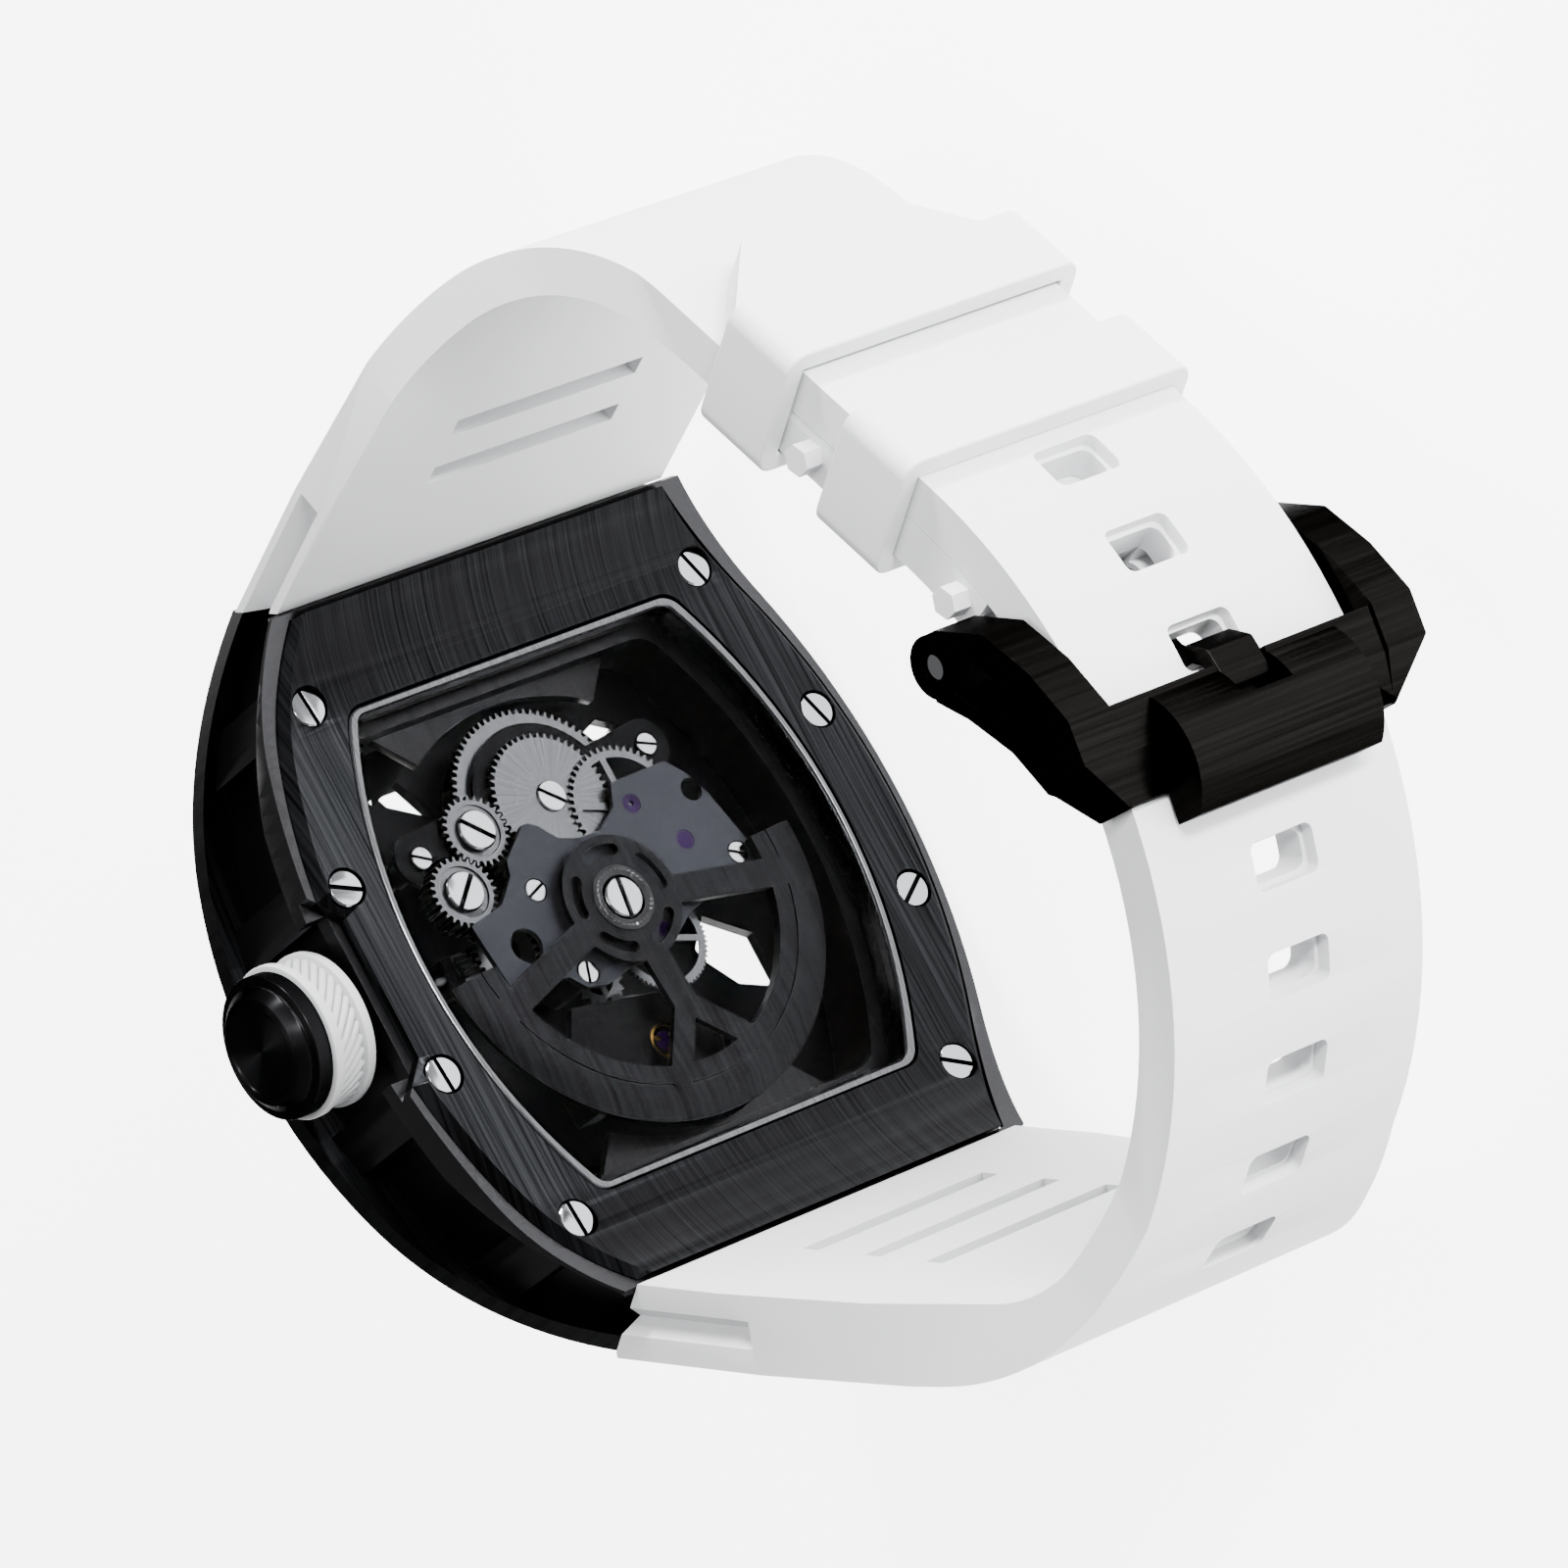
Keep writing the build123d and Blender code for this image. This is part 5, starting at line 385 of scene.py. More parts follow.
BEARING_STEEL = Metal("bearing_steel", (0.012, 0.0122, 0.013), 0.2)
RATCHET_SUNRAY = Metal(
    "ratchet_sunray",
    (0.05, 0.0515, 0.055),
    roughness=0.28,
    scratch_depth=0.3,
    colour_swing=0.45,
    fine_scale=150.0,
    sun_centre_mm=(-7.98, -0.05),
)
RING_BRUSHED = Metal(
    "ring_brushed", (0.008, 0.0082, 0.0088), 0.3, 0.3, 0.4, stretch_along=ACROSS_THE_STRAP
)
DARK_PLATE = Metal("dark_plate", (0.0022, 0.0023, 0.0026), 0.34, 0.25, 0.12)
GREY_BRIDGE = Metal("grey_bridge", (0.017, 0.018, 0.0215), 0.5, 0.08, 0.03)
ROTOR_BRUSHED = Metal(
    "rotor_brushed",
    (0.0072, 0.0075, 0.0082),
    roughness=0.38,
    scratch_depth=0.3,
    colour_swing=0.6,
    fine_scale=4500.0,
    long_scale=60.0,
    edge_tint=0.5,
    stretch_along=ACROSS_THE_STRAP,
)
BUCKLE_BRUSHED = Metal(
    "buckle_brushed",
    (0.0034, 0.0032, 0.003),
    roughness=0.3,
    scratch_depth=0.5,
    colour_swing=0.4,
    fine_scale=4500.0,
    long_scale=60.0,
    edge_tint=0.35,
    stretch_along=ALONG_THE_STRAP,
)
GOLD_SPRING = Metal("gold_spring", (0.7, 0.45, 0.13), 0.18)
BLACK_PAINT = Metal("black_paint", (0.004, 0.004, 0.0045), 0.5, metallic=0.0)
LUMINOUS = Metal("luminous", (0.6, 0.63, 0.58), 0.5, metallic=0.0)
WHITE_RUBBER = Rubber("white_rubber", (0.49, 0.495, 0.505))
# Painted shade: the crown's grip is the strap's white rubber, coloured darker so its flutes read as
# shaded.
CROWN_RUBBER_PAINTED_SHADE = Rubber("crown_rubber_painted_shade", (0.27, 0.273, 0.28))
WHITE_SEAL = Rubber("white_seal", (0.75, 0.75, 0.74))
BLACK_SEAL = Rubber("black_seal", (0.01, 0.01, 0.01))
SAPPHIRE = Clear("sapphire", (1.0, 1.0, 1.0), ior=1.03)
VIOLET_JEWEL = Clear("violet_jewel", (0.009, 0.001, 0.022), 0.05, 1.15, 0.1)


@dataclass(frozen=True)
class EdgeRound:
    """How the edges of a machined piece are eased."""

    width_mm: float
    segments: int = 2
    angle_degrees: float = 32.0


@dataclass(frozen=True)
class SlotTurn:
    """The axis of a screw along Y and its slot's angle, from X towards Z."""

    x_mm: float
    z_mm: float
    degrees: float


def islands(work: bmesh.types.BMesh) -> list[set[bmesh.types.BMFace]]:
    """Sorts a mesh's faces by the separate pieces that they belong to.

    Args:
        work: The mesh.

    Returns:
        The faces of each piece.
    """
    left = set(work.faces)
    found = []
    while left:
        island = {left.pop()}
        border = list(island)
        while border:
            near = {other for edge in border.pop().edges for other in edge.link_faces} & left
            left -= near
            island |= near
            border.extend(near)
        found.append(island)
    return found


@dataclass
class MachinedPiece:
    """A CAD node shown with eased edges and its own finish."""

    node: str
    body: str
    finish: Finish
    edges: EdgeRound
    dissolve_degrees: float = 0.5
    weld_mm: float = 0.002

    def prepare(self, work: bmesh.types.BMesh, mesh: bpy.types.Mesh) -> None:
        """Gives the piece its finish; pieces with more than one finish add to this.

        Args:
            work: The piece's joined mesh, not used here.
            mesh: The mesh that it will fill.
        """
        mesh.materials.append(self.finish.material())

    def build(self, frame: dict) -> bpy.types.Object:
        """Copies the node's mesh, joins its loose triangles and eases its edges.


        Returns:
            The shown piece, which replaces the node.
        """
        source = frame["nodes"][self.node]
        mesh = bpy.data.meshes.new(f"{self.node}_shown")
        work = bmesh.new()
        work.from_mesh(source.data)
        bmesh.ops.remove_doubles(work, verts=work.verts, dist=self.weld_mm * MM)
        if self.dissolve_degrees > 0.0:
            limit = math.radians(self.dissolve_degrees)
            bmesh.ops.dissolve_limit(work, angle_limit=limit, verts=work.verts, edges=work.edges)
        self.prepare(work, mesh)
        work.to_mesh(mesh)
        work.free()
        piece = bpy.data.objects.new(f"{self.node}_shown", mesh)
        bpy.context.scene.collection.objects.link(piece)
        mesh.polygons.foreach_set("use_smooth", [True] * len(mesh.polygons))
        mesh.set_sharp_from_angle(angle=math.radians(SMOOTH_DEGREES))
        bevel = piece.modifiers.new("eased_edges", "BEVEL")
        bevel.width = self.edges.width_mm * MM
        bevel.segments = self.edges.segments
        bevel.limit_method = "ANGLE"
        bevel.angle_limit = math.radians(self.edges.angle_degrees)
        bevel.use_clamp_overlap = True
        bevel.harden_normals = True
        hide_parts(self.node)
        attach(piece, self.body)
        return piece


@dataclass
class Screws(MachinedPiece):
    """A node of slotted screws whose slot floors get a painted shade and which may be turned."""

    turns: tuple[SlotTurn, ...] = ()
    head_share: float = 0.9
    facing: float = 0.8
    level_facing: float = 0.99
    slot_depth_mm: tuple[float, float] = (0.06, 0.6)
    axis_reach_mm: float = 0.4

    def prepare(self, work: bmesh.types.BMesh, mesh: bpy.types.Mesh) -> None:
        """Paints shade on the slots' floors and turns the screws that have a given angle.

        Args:
            work: The mesh of the screws, each an island of its own.
            mesh: The mesh that it will fill.
        """
        super().prepare(work, mesh)
        # The second material is the painted shade on the slot floors.
        mesh.materials.append(SLOT_PAINTED_SHADE.material())
        work.normal_update()
        for island in islands(work):
            floor = self.slot_floor(island)
            for face in floor:
                face.material_index = 1
            if floor:
                self.turn_slot({vert for face in island for vert in face.verts}, floor)

    def slot_floor(self, island: set[bmesh.types.BMFace]) -> list[bmesh.types.BMFace]:
        """Finds the faces that look out from a little below the top of a screw's head.

        Args:
            island: The screw's faces.

        Returns:
            The faces of its slot's floor.
        """
        corners = [vert.co for vert in {vert for face in island for vert in face.verts}]
        middle = sum(corners, Vector()) / len(corners)
        reach = [math.hypot(corner.x - middle.x, corner.z - middle.z) for corner in corners]
        widest = max(reach)
        head = [corner.y for corner, wide in zip(corners, reach) if wide > self.head_share * widest]
        ends = [corner.y for corner in corners]
        side = 1.0 if sum(head) / len(head) > (min(ends) + max(ends)) / 2 else -1.0
        outward = [face for face in island if face.normal.y * side > self.facing]
        axis = max(outward, key=lambda face: face.calc_area()).normal.copy()
        level = {
            face: face.calc_center_median().dot(axis)
            for face in outward
            if face.normal.dot(axis) > self.level_facing
        }
        top = max(level.values())
        shallow, deep = (depth * MM for depth in self.slot_depth_mm)
        return [face for face, height in level.items() if shallow < top - height < deep]

    def turn_slot(self, corners: set[bmesh.types.BMVert], floor: list[bmesh.types.BMFace]) -> None:
        """Turns one screw about its own axis until its slot lies as in the photograph.

        Args:
            corners: The screw's vertices.
            floor: The faces of its slot's floor.
        """
        across = [corner.co.x for corner in corners]
        along = [corner.co.z for corner in corners]
        middle_x, middle_z = (min(across) + max(across)) / 2, (min(along) + max(along)) / 2
        for slot in self.turns:
            x, z = slot.x_mm * MM, slot.z_mm * MM
            if math.hypot(middle_x - x, middle_z - z) > self.axis_reach_mm * MM:
                continue
            widest = max(floor, key=lambda face: face.calc_area())
            edge = max(widest.edges, key=lambda edge: edge.calc_length())
            run = edge.verts[1].co - edge.verts[0].co
            turn = math.radians(slot.degrees) - math.atan2(run.z, run.x)
            for corner in corners:
                out_x, out_z = corner.co.x - x, corner.co.z - z
                corner.co.x = x + out_x * math.cos(turn) - out_z * math.sin(turn)
                corner.co.z = z + out_x * math.sin(turn) + out_z * math.cos(turn)


@dataclass
class PaintedNode:
    """A CAD node that keeps its own mesh and gets a finish."""

    node: str
    finish: Finish

    def build(self, frame: dict) -> bpy.types.Object:
        """Puts the finish on the node.


        Returns:
            The node's object.
        """
        piece = frame["nodes"][self.node]
        piece.data.materials.clear()
        piece.data.materials.append(self.finish.material())
        return piece


@dataclass(frozen=True)
class Lamp:
    """A soft rectangular light that faces the watch. Its size is its width and its height."""

    name: str
    place_mm: Triple
    size_mm: tuple[float, float]
    watts: float
    aim_mm: Triple = (0.0, 20.0, 0.0)

    def build(self) -> bpy.types.Object:
        """Makes the light.

        Returns:
            The light object.
        """
        data = bpy.data.lights.new(self.name, "AREA")
        data.shape = "RECTANGLE"
        data.size, data.size_y = (side * MM for side in self.size_mm)
        data.energy = self.watts
        lamp = bpy.data.objects.new(self.name, data)
        lamp.location = Vector(self.place_mm) * MM
        aim = Vector(self.aim_mm) * MM - lamp.location
        lamp.rotation_euler = aim.to_track_quat("-Z", "Y").to_euler()
        bpy.context.scene.collection.objects.link(lamp)
        return lamp


@dataclass
class Studio:
    """The floor, the soft lights and the photograph's camera.

    The rows are the picture's right, its down and the way into it, in the watch's axes.
    """

    camera_mm: Triple = (94.49, 491.77, 386.10)
    rows: tuple[Triple, Triple, Triple] = (
        (0.46491484, 0.50201279, -0.72927179),
        (0.87229003, -0.40071257, 0.28024908),
        (-0.15153976, -0.76642847, -0.62419797),
    )
    lens_mm: float = 233.64
    sensor_mm: float = 36.0
    clip_m: tuple[float, float] = (0.01, 20.0)
    floor_size: float = 6.0
    floor_grey: float = 0.9
    floor_roughness: float = 0.9
    floor_glow: float = 4.8
    air_glow: float = 0.5
    lamps: tuple[Lamp, ...] = (
        Lamp("twelve_side_strip", (-450.0, 215.0, 90.0), (60.0, 220.0), 8.0),
        Lamp("middle_strip", (-80.0, 520.0, 90.0), (80.0, 220.0), 9.0),
        Lamp("overhead_soft", (-150.0, 150.0, 650.0), (450.0, 450.0), 6.0),
    )

    def camera(self) -> bpy.types.Object:
        """Makes the scene's camera at the photograph's place.

        Returns:
            The camera object.
        """
        data = bpy.data.cameras.new("photo_camera")
        data.lens = self.lens_mm
        data.sensor_width = self.sensor_mm
        data.sensor_fit = "HORIZONTAL"
        data.clip_start, data.clip_end = self.clip_m
        camera = bpy.data.objects.new("photo_camera", data)
        right, down, forward = (Vector(row) for row in self.rows)
        turn = Matrix((right, -down, -forward)).transposed()
        camera.matrix_world = Matrix.Translation(Vector(self.camera_mm) * MM) @ turn.to_4x4()
        bpy.context.scene.collection.objects.link(camera)
        bpy.context.scene.camera = camera
        return camera

    def floor(self, height: float) -> bpy.types.Object:
        """Lays a pale floor at the object's lowest point.

        Args:
            height: The floor's height in metres.

        Returns:
            The floor object.
        """
        half = self.floor_size / 2
        mesh = bpy.data.meshes.new("studio_floor")
        square = ((-half, -half), (half, -half), (half, half), (-half, half))
        mesh.from_pydata([(x, y, height) for x, y in square], [], [(0, 1, 2, 3)])
        material = bpy.data.materials.new("pale_floor")
        material.use_nodes = True
        grey = (self.floor_grey, self.floor_grey, self.floor_grey, 1.0)
        glow = {"Emission Color": (1.0, 1.0, 1.0, 1.0), "Emission Strength": self.floor_glow}
        shader = material.node_tree.nodes["Principled BSDF"]
        set_inputs(shader, {"Base Color": grey, "Roughness": self.floor_roughness, **glow})
        mesh.materials.append(material)
        floor = bpy.data.objects.new("studio_floor", mesh)
        bpy.context.scene.collection.objects.link(floor)
        floor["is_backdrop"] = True
        return floor

    def build(self, height: float) -> None:
        """Sets up camera, floor, surroundings and lights.

        Args:
            height: The floor's height in metres.
        """
        self.camera()
        self.floor(height)
        world = bpy.data.worlds.new("studio")
        world.use_nodes = True
        air = {"Color": (1.0, 1.0, 1.0, 1.0), "Strength": self.air_glow}
        set_inputs(world.node_tree.nodes["Background"], air)
        bpy.context.scene.world = world
        for lamp in self.lamps:
            lamp.build()


Piece = MachinedPiece | PaintedNode
CASE_BACK_TURNS = (
    SlotTurn(-6.5, -19.75, -20.3),
    SlotTurn(6.5, -19.75, 56.5),
    SlotTurn(6.5, 19.75, -4.6),
    SlotTurn(-6.5, 19.75, -66.9),
    SlotTurn(-17.85, 16.09, -5.4),
    SlotTurn(17.85, 16.09, -3.7),
    SlotTurn(-17.85, -16.09, -19.4),
    SlotTurn(17.85, -16.09, -62.9),
)
AXLE_TURNS = (SlotTurn(0.0, 0.0, 8.4),)
BRIDGE_TURNS = (
    SlotTurn(-9.07, -9.06, -67.6),
    SlotTurn(-7.3, 10.9, -61.4),
    SlotTurn(-2.6, 5.05, 69.0),
    SlotTurn(-0.2, -10.6, -63.6),
)
WINDING_TURNS = (SlotTurn(-4.26, 9.46, 47.1), SlotTurn(-7.63, 6.42, -44.8))
RATCHET_TURNS = (SlotTurn(-7.98, -0.05, -47.5),)


def machined(node: str, body: str, finish: Finish, width: float, segments: int = 2) -> MachinedPiece:
    """Names a machined piece in short.

    Args:
        node: The CAD node.
        body: The body it rides on.
        finish: Its finish.
        width: The width of its eased edges in millimetres.
        segments: How many facets round each edge.

    Returns:
        The piece, not yet built.
    """
    return MachinedPiece(node, body, finish, EdgeRound(width, segments))


def screws(node: str, body: str, width: float, turns: tuple[SlotTurn, ...] = ()) -> Screws:
    """Names a set of slotted screws in short.

    Args:
        node: The CAD node.
        body: The body it rides on.
        width: The width of its eased edges in millimetres.
        turns: The screws whose slots lie at a given angle.

    Returns:
        The piece, not yet built.
    """
    return Screws(node, body, SCREW_STEEL, EdgeRound(width), turns=turns)


def build_all(pieces: list[Piece], frame: dict) -> None:
    """Builds pieces in order and reports each.

    Args:
        pieces: The pieces.
    """
    for piece in pieces:
        shown = piece.build(frame)
        LOG.info("%s: %d faces", shown.name, len(shown.data.polygons))


def socket_of(tree: bpy.types.NodeTree, name: str) -> str:
    """Finds a group input's identifier by its name.

    Args:
        tree: The node group.
        name: The input's name.

    Returns:
        The identifier that a modifier takes.
    """
    for item in tree.interface.items_tree:
        if item.item_type == "SOCKET" and item.in_out == "INPUT" and item.name == name:
            return item.identifier
    raise KeyError(name)


@dataclass
class RibRing:
    """A ring of round ribs about the local Z axis, each a short helix."""

    name: str
    count: int
    radius_mm: float
    height_mm: float
    turns: float
    rib_radius_mm: float
    steps_a_turn: int = 200
    rib_facets: int = 10

    def tree(self) -> bpy.types.NodeTree:
        """Builds the node group that repeats one rib about the axis.

        Returns:
            The node group, made once.
        """
        made = bpy.data.node_groups.get("rib_ring")
        if made:
            return made
        made = bpy.data.node_groups.new("rib_ring", "GeometryNodeTree")
        for name, kind in (
            ("Count", "NodeSocketInt"),
            ("Radius", "NodeSocketFloat"),
            ("Height", "NodeSocketFloat"),
            ("Turns", "NodeSocketFloat"),
            ("Rib Radius", "NodeSocketFloat"),
            ("Finish", "NodeSocketMaterial"),
        ):
            made.interface.new_socket(name, in_out="INPUT", socket_type=kind)
        made.interface.new_socket("Geometry", in_out="OUTPUT", socket_type="NodeSocketGeometry")
        given = new_node(made, "NodeGroupInput")
        spiral = new_node(made, "GeometryNodeCurveSpiral", {"Resolution": self.steps_a_turn})
        facets = {"Resolution": self.rib_facets}
        section = new_node(made, "GeometryNodeCurvePrimitiveCircle", facets)
        rib = new_node(made, "GeometryNodeCurveToMesh", {"Fill Caps": True})
        places = new_node(made, "GeometryNodePoints")
        number = new_node(made, "GeometryNodeInputIndex")
        step = new_node(made, "ShaderNodeMath", {0: 2 * math.pi}, operation="DIVIDE")
        angle = new_node(made, "ShaderNodeMath", operation="MULTIPLY")
        turn = new_node(made, "ShaderNodeCombineXYZ")
        repeat = new_node(made, "GeometryNodeInstanceOnPoints")
        real = new_node(made, "GeometryNodeRealizeInstances")
        paint = new_node(made, "GeometryNodeSetMaterial")
        out = new_node(made, "NodeGroupOutput")
        for source, socket, sink, entry in (
            (given, "Turns", spiral, "Rotations"),
            (given, "Radius", spiral, "Start Radius"),
            (given, "Radius", spiral, "End Radius"),
            (given, "Height", spiral, "Height"),
            (given, "Rib Radius", section, "Radius"),
            (spiral, "Curve", rib, "Curve"),
            (section, "Curve", rib, "Profile Curve"),
            (given, "Count", places, "Count"),
            (given, "Count", step, 1),
            (number, "Index", angle, 0),
            (step, "Value", angle, 1),
            (angle, "Value", turn, "Z"),
            (places, "Geometry", repeat, "Points"),
            (rib, "Mesh", repeat, "Instance"),
            (turn, "Vector", repeat, "Rotation"),
            (repeat, "Instances", real, "Geometry"),
            (real, "Geometry", paint, "Geometry"),
            (given, "Finish", paint, "Material"),
            (paint, "Geometry", out, "Geometry"),
        ):
            made.links.new(source.outputs[socket], sink.inputs[entry])
        return made

    def mesh(self, finish: bpy.types.Material, place: Matrix) -> bpy.types.Mesh:
        """Evaluates the ring into a plain mesh.

        Args:
            finish: The ribs' material.
            place: Where the ring's axis and start lie, in metres.

        Returns:
            The placed mesh.
        """
        tree = self.tree()
        empty = bpy.data.meshes.new(f"{self.name}_carrier")
        carrier = bpy.data.objects.new(empty.name, empty)
        bpy.context.scene.collection.objects.link(carrier)
        ribs = carrier.modifiers.new("ribs", "NODES")
        ribs.node_group = tree
        for name, value in (
            ("Count", self.count),
            ("Radius", self.radius_mm * MM),
            ("Height", self.height_mm * MM),
            ("Turns", self.turns),
            ("Rib Radius", self.rib_radius_mm * MM),
            ("Finish", finish),
        ):
            ribs[socket_of(tree, name)] = value
        shown = carrier.evaluated_get(bpy.context.evaluated_depsgraph_get())
        mesh = bpy.data.meshes.new_from_object(shown)
        bpy.data.objects.remove(carrier)
        mesh.name = self.name
        mesh.transform(place)
        mesh.polygons.foreach_set("use_smooth", [True] * len(mesh.polygons))
        return mesh


@dataclass
class SpunPiece:
    """A closed (radius, height) profile spun about the local Z axis.

    The profile runs up its outer side and down its inner side, so the faces look outwards.
    """

    name: str
    profile_mm: list[tuple[float, float]]
    steps: int = 96

    def mesh(self, finish: bpy.types.Material, place: Matrix) -> bpy.types.Mesh:
        """Spins the profile into a plain mesh, whose faces come in the same order each run.

        Args:
            finish: The material.
            place: Where the axis lies, in metres.

        Returns:
            The placed mesh.
        """
        count = len(self.profile_mm)
        corners, faces = [], []
        for step in range(self.steps):
            angle = 2 * math.pi * step / self.steps
            here, there = step * count, (step + 1) % self.steps * count
            for low, (radius, height) in enumerate(self.profile_mm):
                high = (low + 1) % count
                out = radius * MM
                corners.append((out * math.cos(angle), out * math.sin(angle), height * MM))
                faces.append((here + low, there + low, there + high, here + high))
        mesh = bpy.data.meshes.new(self.name)
        mesh.from_pydata(corners, [], faces)
        mesh.transform(place)
        mesh.materials.append(finish)
        mesh.polygons.foreach_set("use_smooth", [True] * len(mesh.polygons))
        mesh.set_sharp_from_angle(angle=math.radians(SMOOTH_DEGREES))
        return mesh


def place_piece(mesh: bpy.types.Mesh, body: str, *nodes: str) -> bpy.types.Object:
    """Makes an object of a finished mesh, riding on a body in the place of some nodes.

    Args:
        mesh: The mesh, already in its place.
        body: The body it rides on.
        nodes: The CAD nodes it replaces.

    Returns:
        The object.
    """
    piece = bpy.data.objects.new(mesh.name, mesh)
    bpy.context.scene.collection.objects.link(piece)
    if nodes:
        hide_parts(*nodes)
    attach(piece, body)
    LOG.info("%s: %d faces", piece.name, len(mesh.polygons))
    return piece


@dataclass
class Case:
    """Caseband, bezel, back, crystals, seals and their screws."""

    band_ease: float = 0.12
    plate_ease: float = 0.14
    screw_ease: float = 0.04

    def build(self, frame: dict) -> None:
        """Builds the case.
        """
        band = EdgeRound(self.band_ease)
        pieces: list[Piece] = [
            MachinedPiece("case_middle", "case", COATED_BLASTED, band, dissolve_degrees=0.0),
            machined("bezel", "case", COATED_BRUSHED, self.plate_ease),
            machined("case_back", "case", COATED_BRUSHED, self.plate_ease),
            screws("case_back_screws", "case", self.screw_ease, CASE_BACK_TURNS),
            screws("bezel_screws", "case", self.screw_ease),
            machined("back_window_ring", "case", MIRROR_STEEL, self.band_ease),
            PaintedNode("back_crystal", SAPPHIRE),
            PaintedNode("front_crystal", SAPPHIRE),
            PaintedNode("back_gasket", BLACK_SEAL),
            PaintedNode("front_gasket", WHITE_SEAL),
        ]
        build_all(pieces, frame)


@dataclass
class Crown:
    """The crown's cap, its fluted rubber grip, tube and stem."""

    axis_depth_mm: float = 5.9
    inner_mm: float = 21.9
    length_mm: float = 3.2
    flange_mm: float = 0.7
    flange_radius_mm: float = 4.95
    waist_radius_mm: float = 4.4
    core_radius_mm: float = 3.6
    edge_mm: float = 0.16
    edge_step_share: float = 0.3
    cap_ease: float = 0.08
    ribs: int = 34
    rib_radius_mm: float = 0.27
    rib_turns: float = 0.075

    def grip_profile(self) -> list[tuple[float, float]]:
        """Lists the grip's section: two rounded flanges and the waist between them.

        Returns:
            The (radius, height) corners.
        """
        outer, waist, edge = self.flange_radius_mm, self.waist_radius_mm, self.edge_mm
        flange, length = self.flange_mm, self.length_mm
        step = edge * self.edge_step_share
        low = [
            (self.core_radius_mm, 0.0),
            (outer - edge, 0.0),
            (outer - step, step),
            (outer, edge),
            (outer, flange - edge),
            (outer - step, flange - step),
            (outer - edge, flange),
            (waist, flange + edge),
        ]
        return low + [(radius, length - height) for radius, height in reversed(low)]

    def build(self, frame: dict) -> None:
        """Builds the crown.
        """
        pieces: list[Piece] = [
            machined("crown_cap", "crown", CROWN_CAP_BLACK, self.cap_ease),
            PaintedNode("crown_gasket", BLACK_SEAL),
            PaintedNode("crown_tube", SCREW_STEEL),
            PaintedNode("winding_stem", SATIN_STEEL),
            PaintedNode("winding_pinion", SATIN_STEEL),
        ]
        build_all(pieces, frame)
        # The grip and its flutes take the painted-shade copy of the white rubber.
        rubber = CROWN_RUBBER_PAINTED_SHADE.material()
        axis = Matrix.Translation((0.0, -self.axis_depth_mm * MM, self.inner_mm * MM))
        grip = SpunPiece("crown_grip_shown", self.grip_profile())
        place_piece(grip.mesh(rubber, axis), "crown", "crown_grip")
        ring = RibRing(
            "crown_flutes",
            self.ribs,
            self.waist_radius_mm,
            self.length_mm - 2 * self.flange_mm,
            self.rib_turns,
            self.rib_radius_mm,
        )
        start = axis @ Matrix.Translation((0.0, 0.0, self.flange_mm * MM))
        place_piece(ring.mesh(rubber, start), "crown")


@dataclass
class Strap:
    """The two rubber straps, their keepers and bars."""

    strap_ease: float = 0.35
    keeper_ease: float = 0.4
    facets: int = 3

    def build(self, frame: dict) -> None:
        """Builds the strap.
        """
        pieces: list[Piece] = [
            machined("strap_12", "case", WHITE_RUBBER, self.strap_ease, self.facets),
            machined("strap_6", "case", WHITE_RUBBER, self.strap_ease, self.facets),
            PaintedNode("strap_bars", SATIN_STEEL),
            machined("fixed_keeper", "case", WHITE_RUBBER, self.keeper_ease, self.facets),
            machined("free_keeper", "sliding_loop", WHITE_RUBBER, self.keeper_ease, self.facets),
        ]
        build_all(pieces, frame)


@dataclass
class Buckle:
    """The buckle's frame, tongue and pin."""

    frame_ease: float = 0.16
    tongue_ease: float = 0.22
    tongue_facets: int = 3

    def build(self, frame: dict) -> None:
        """Builds the buckle.
        """
        pieces: list[Piece] = [
            machined("buckle_frame", "buckle", BUCKLE_BRUSHED, self.frame_ease),
            machined("buckle_tongue", "tongue", BUCKLE_BRUSHED, self.tongue_ease, self.tongue_facets),
            PaintedNode("buckle_pin", SCREW_STEEL),
        ]
        build_all(pieces, frame)


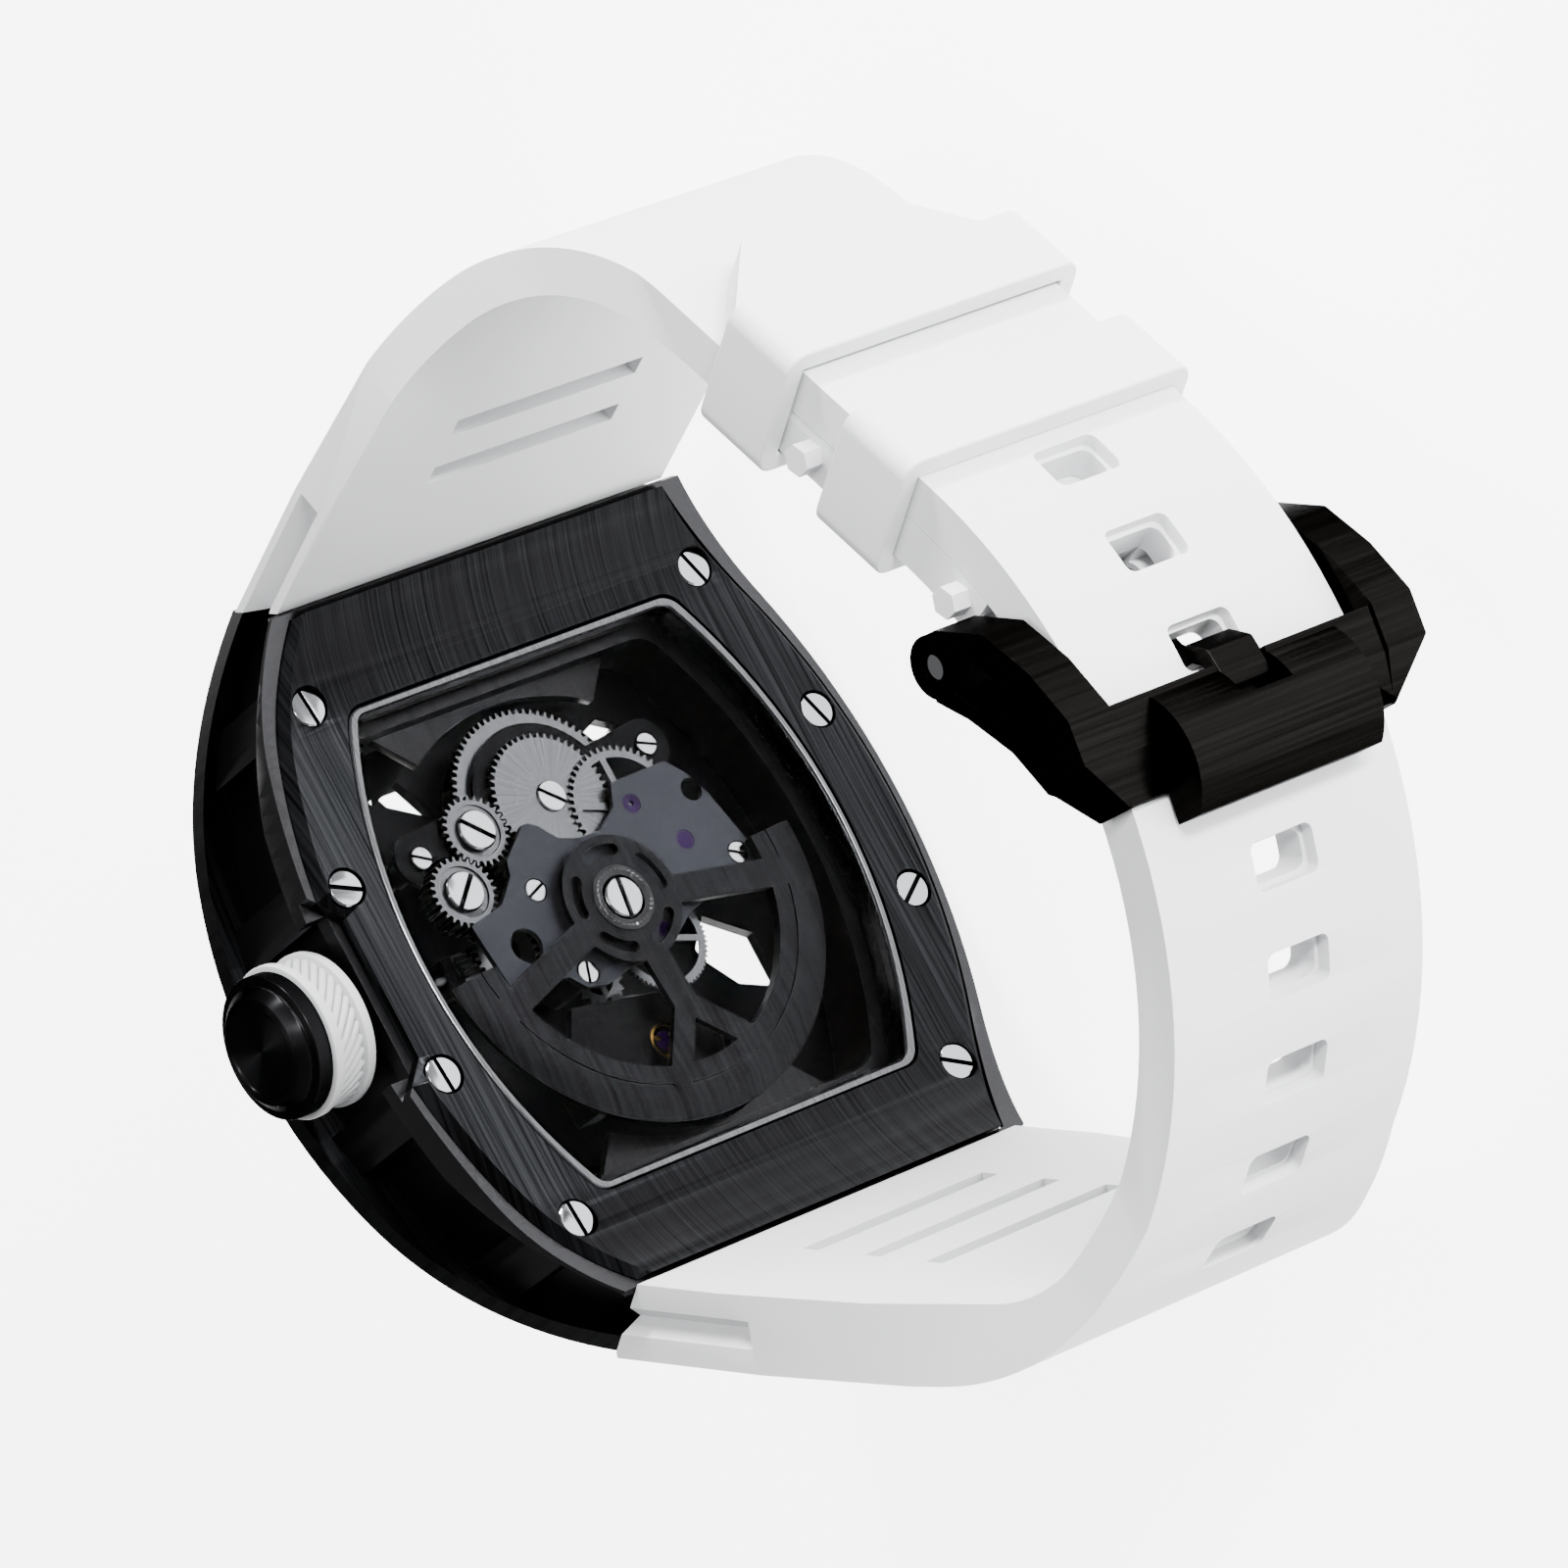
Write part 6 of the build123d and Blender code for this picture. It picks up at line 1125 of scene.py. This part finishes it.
@dataclass
class Movement:
    """Plates, bridges, wheels, rotor and their screws."""

    plate_ease: float = 0.06
    rotor_ease: float = 0.1
    rotor_facets: int = 3
    wheel_ease: float = 0.02
    screw_ease: float = 0.03
    bearing_top_mm: float = 1.52
    knurl_count: int = 36
    knurl_radius_mm: float = 1.9
    knurl_height_mm: float = 0.1
    knurl_turns: float = 0.01
    knurl_rib_mm: float = 0.08

    def build(self, frame: dict) -> None:
        """Builds the movement.
        """
        wheels = {
            "intermediate_wheel": "intermediate_gear",
            "transfer_wheel": "transfer_gear",
            "reduction_wheel": "reduction_gear",
            "barrel": "barrel_body",
        }
        pieces: list[Piece] = [
            machined(node, body, SATIN_STEEL, self.wheel_ease, 1) for node, body in wheels.items()
        ]
        pieces += [
            machined(node, "case", DARK_PLATE, self.plate_ease)
            for node in ("barrel_bridge", "balance_cock", "main_plate")
        ]
        pieces += [
            machined("ratchet_wheel", "ratchet", RATCHET_SUNRAY, self.wheel_ease, 1),
            machined("train_bridge", "case", GREY_BRIDGE, self.plate_ease),
            machined("movement_ring", "case", RING_BRUSHED, self.plate_ease),
            machined("rotor", "rotor_weight", ROTOR_BRUSHED, self.rotor_ease, self.rotor_facets),
            machined("rotor_bearing", "rotor_weight", BEARING_STEEL, self.screw_ease),
            screws("rotor_axle", "case", self.screw_ease, AXLE_TURNS),
            screws("bridge_screws", "case", self.screw_ease, BRIDGE_TURNS),
            screws("winding_wheel_axles", "case", self.screw_ease, WINDING_TURNS),
            screws("ratchet_screw", "ratchet", self.screw_ease, RATCHET_TURNS),
        ]
        for finish, nodes in (
            (SATIN_STEEL, ("crown_wheel", "barrel_arbor", "escape_wheel")),
            (SATIN_STEEL, ("pallet_fork", "hairspring", "cannon_pinion")),
            (TRAIN_STEEL, ("centre_wheel", "third_wheel", "fourth_wheel")),
            (TRAIN_STEEL, ("balance_wheel", "minute_wheel", "hour_wheel")),
            (GOLD_SPRING, ("shock_spring",)),
            (VIOLET_JEWEL, ("jewels",)),
        ):
            pieces += [PaintedNode(node, finish) for node in nodes]
        build_all(pieces, frame)
        self.knurl()

    def knurl(self) -> None:
        """Rings the rotor's bearing with short ribs."""
        ring = RibRing(
            "bearing_knurl",
            self.knurl_count,
            self.knurl_radius_mm,
            self.knurl_height_mm,
            self.knurl_turns,
            self.knurl_rib_mm,
        )
        outwards = Matrix.Rotation(math.radians(-90.0), 4, "X")
        place = Matrix.Translation((0.0, -self.bearing_top_mm * MM, 0.0)) @ outwards
        place_piece(ring.mesh(SCREW_STEEL.material(), place), "rotor_weight")


@dataclass
class Dial:
    """The open dial, its markers, chapter ring and hands."""

    dial_ease: float = 0.05

    def build(self, frame: dict) -> None:
        """Builds the dial side.
        """
        pieces: list[Piece] = [
            machined("dial", "case", BLACK_PAINT, self.dial_ease),
            PaintedNode("dial_markers", LUMINOUS),
            PaintedNode("chapter_ring", BLACK_PAINT),
            PaintedNode("hour_hand", LUMINOUS),
            PaintedNode("minute_hand", LUMINOUS),
            PaintedNode("second_hand", LUMINOUS),
        ]
        build_all(pieces, frame)


def main() -> None:
    """Builds every piece in order, then the studio."""
    logging.basicConfig(level=logging.INFO, format="%(message)s")
    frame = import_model()
    cad_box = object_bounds()
    for group in (Case(), Crown(), Strap(), Buckle(), Movement(), Dial()):
        group.build(frame)
    Studio().build(cad_box[0].z)


if __name__ == "__main__":
    main()
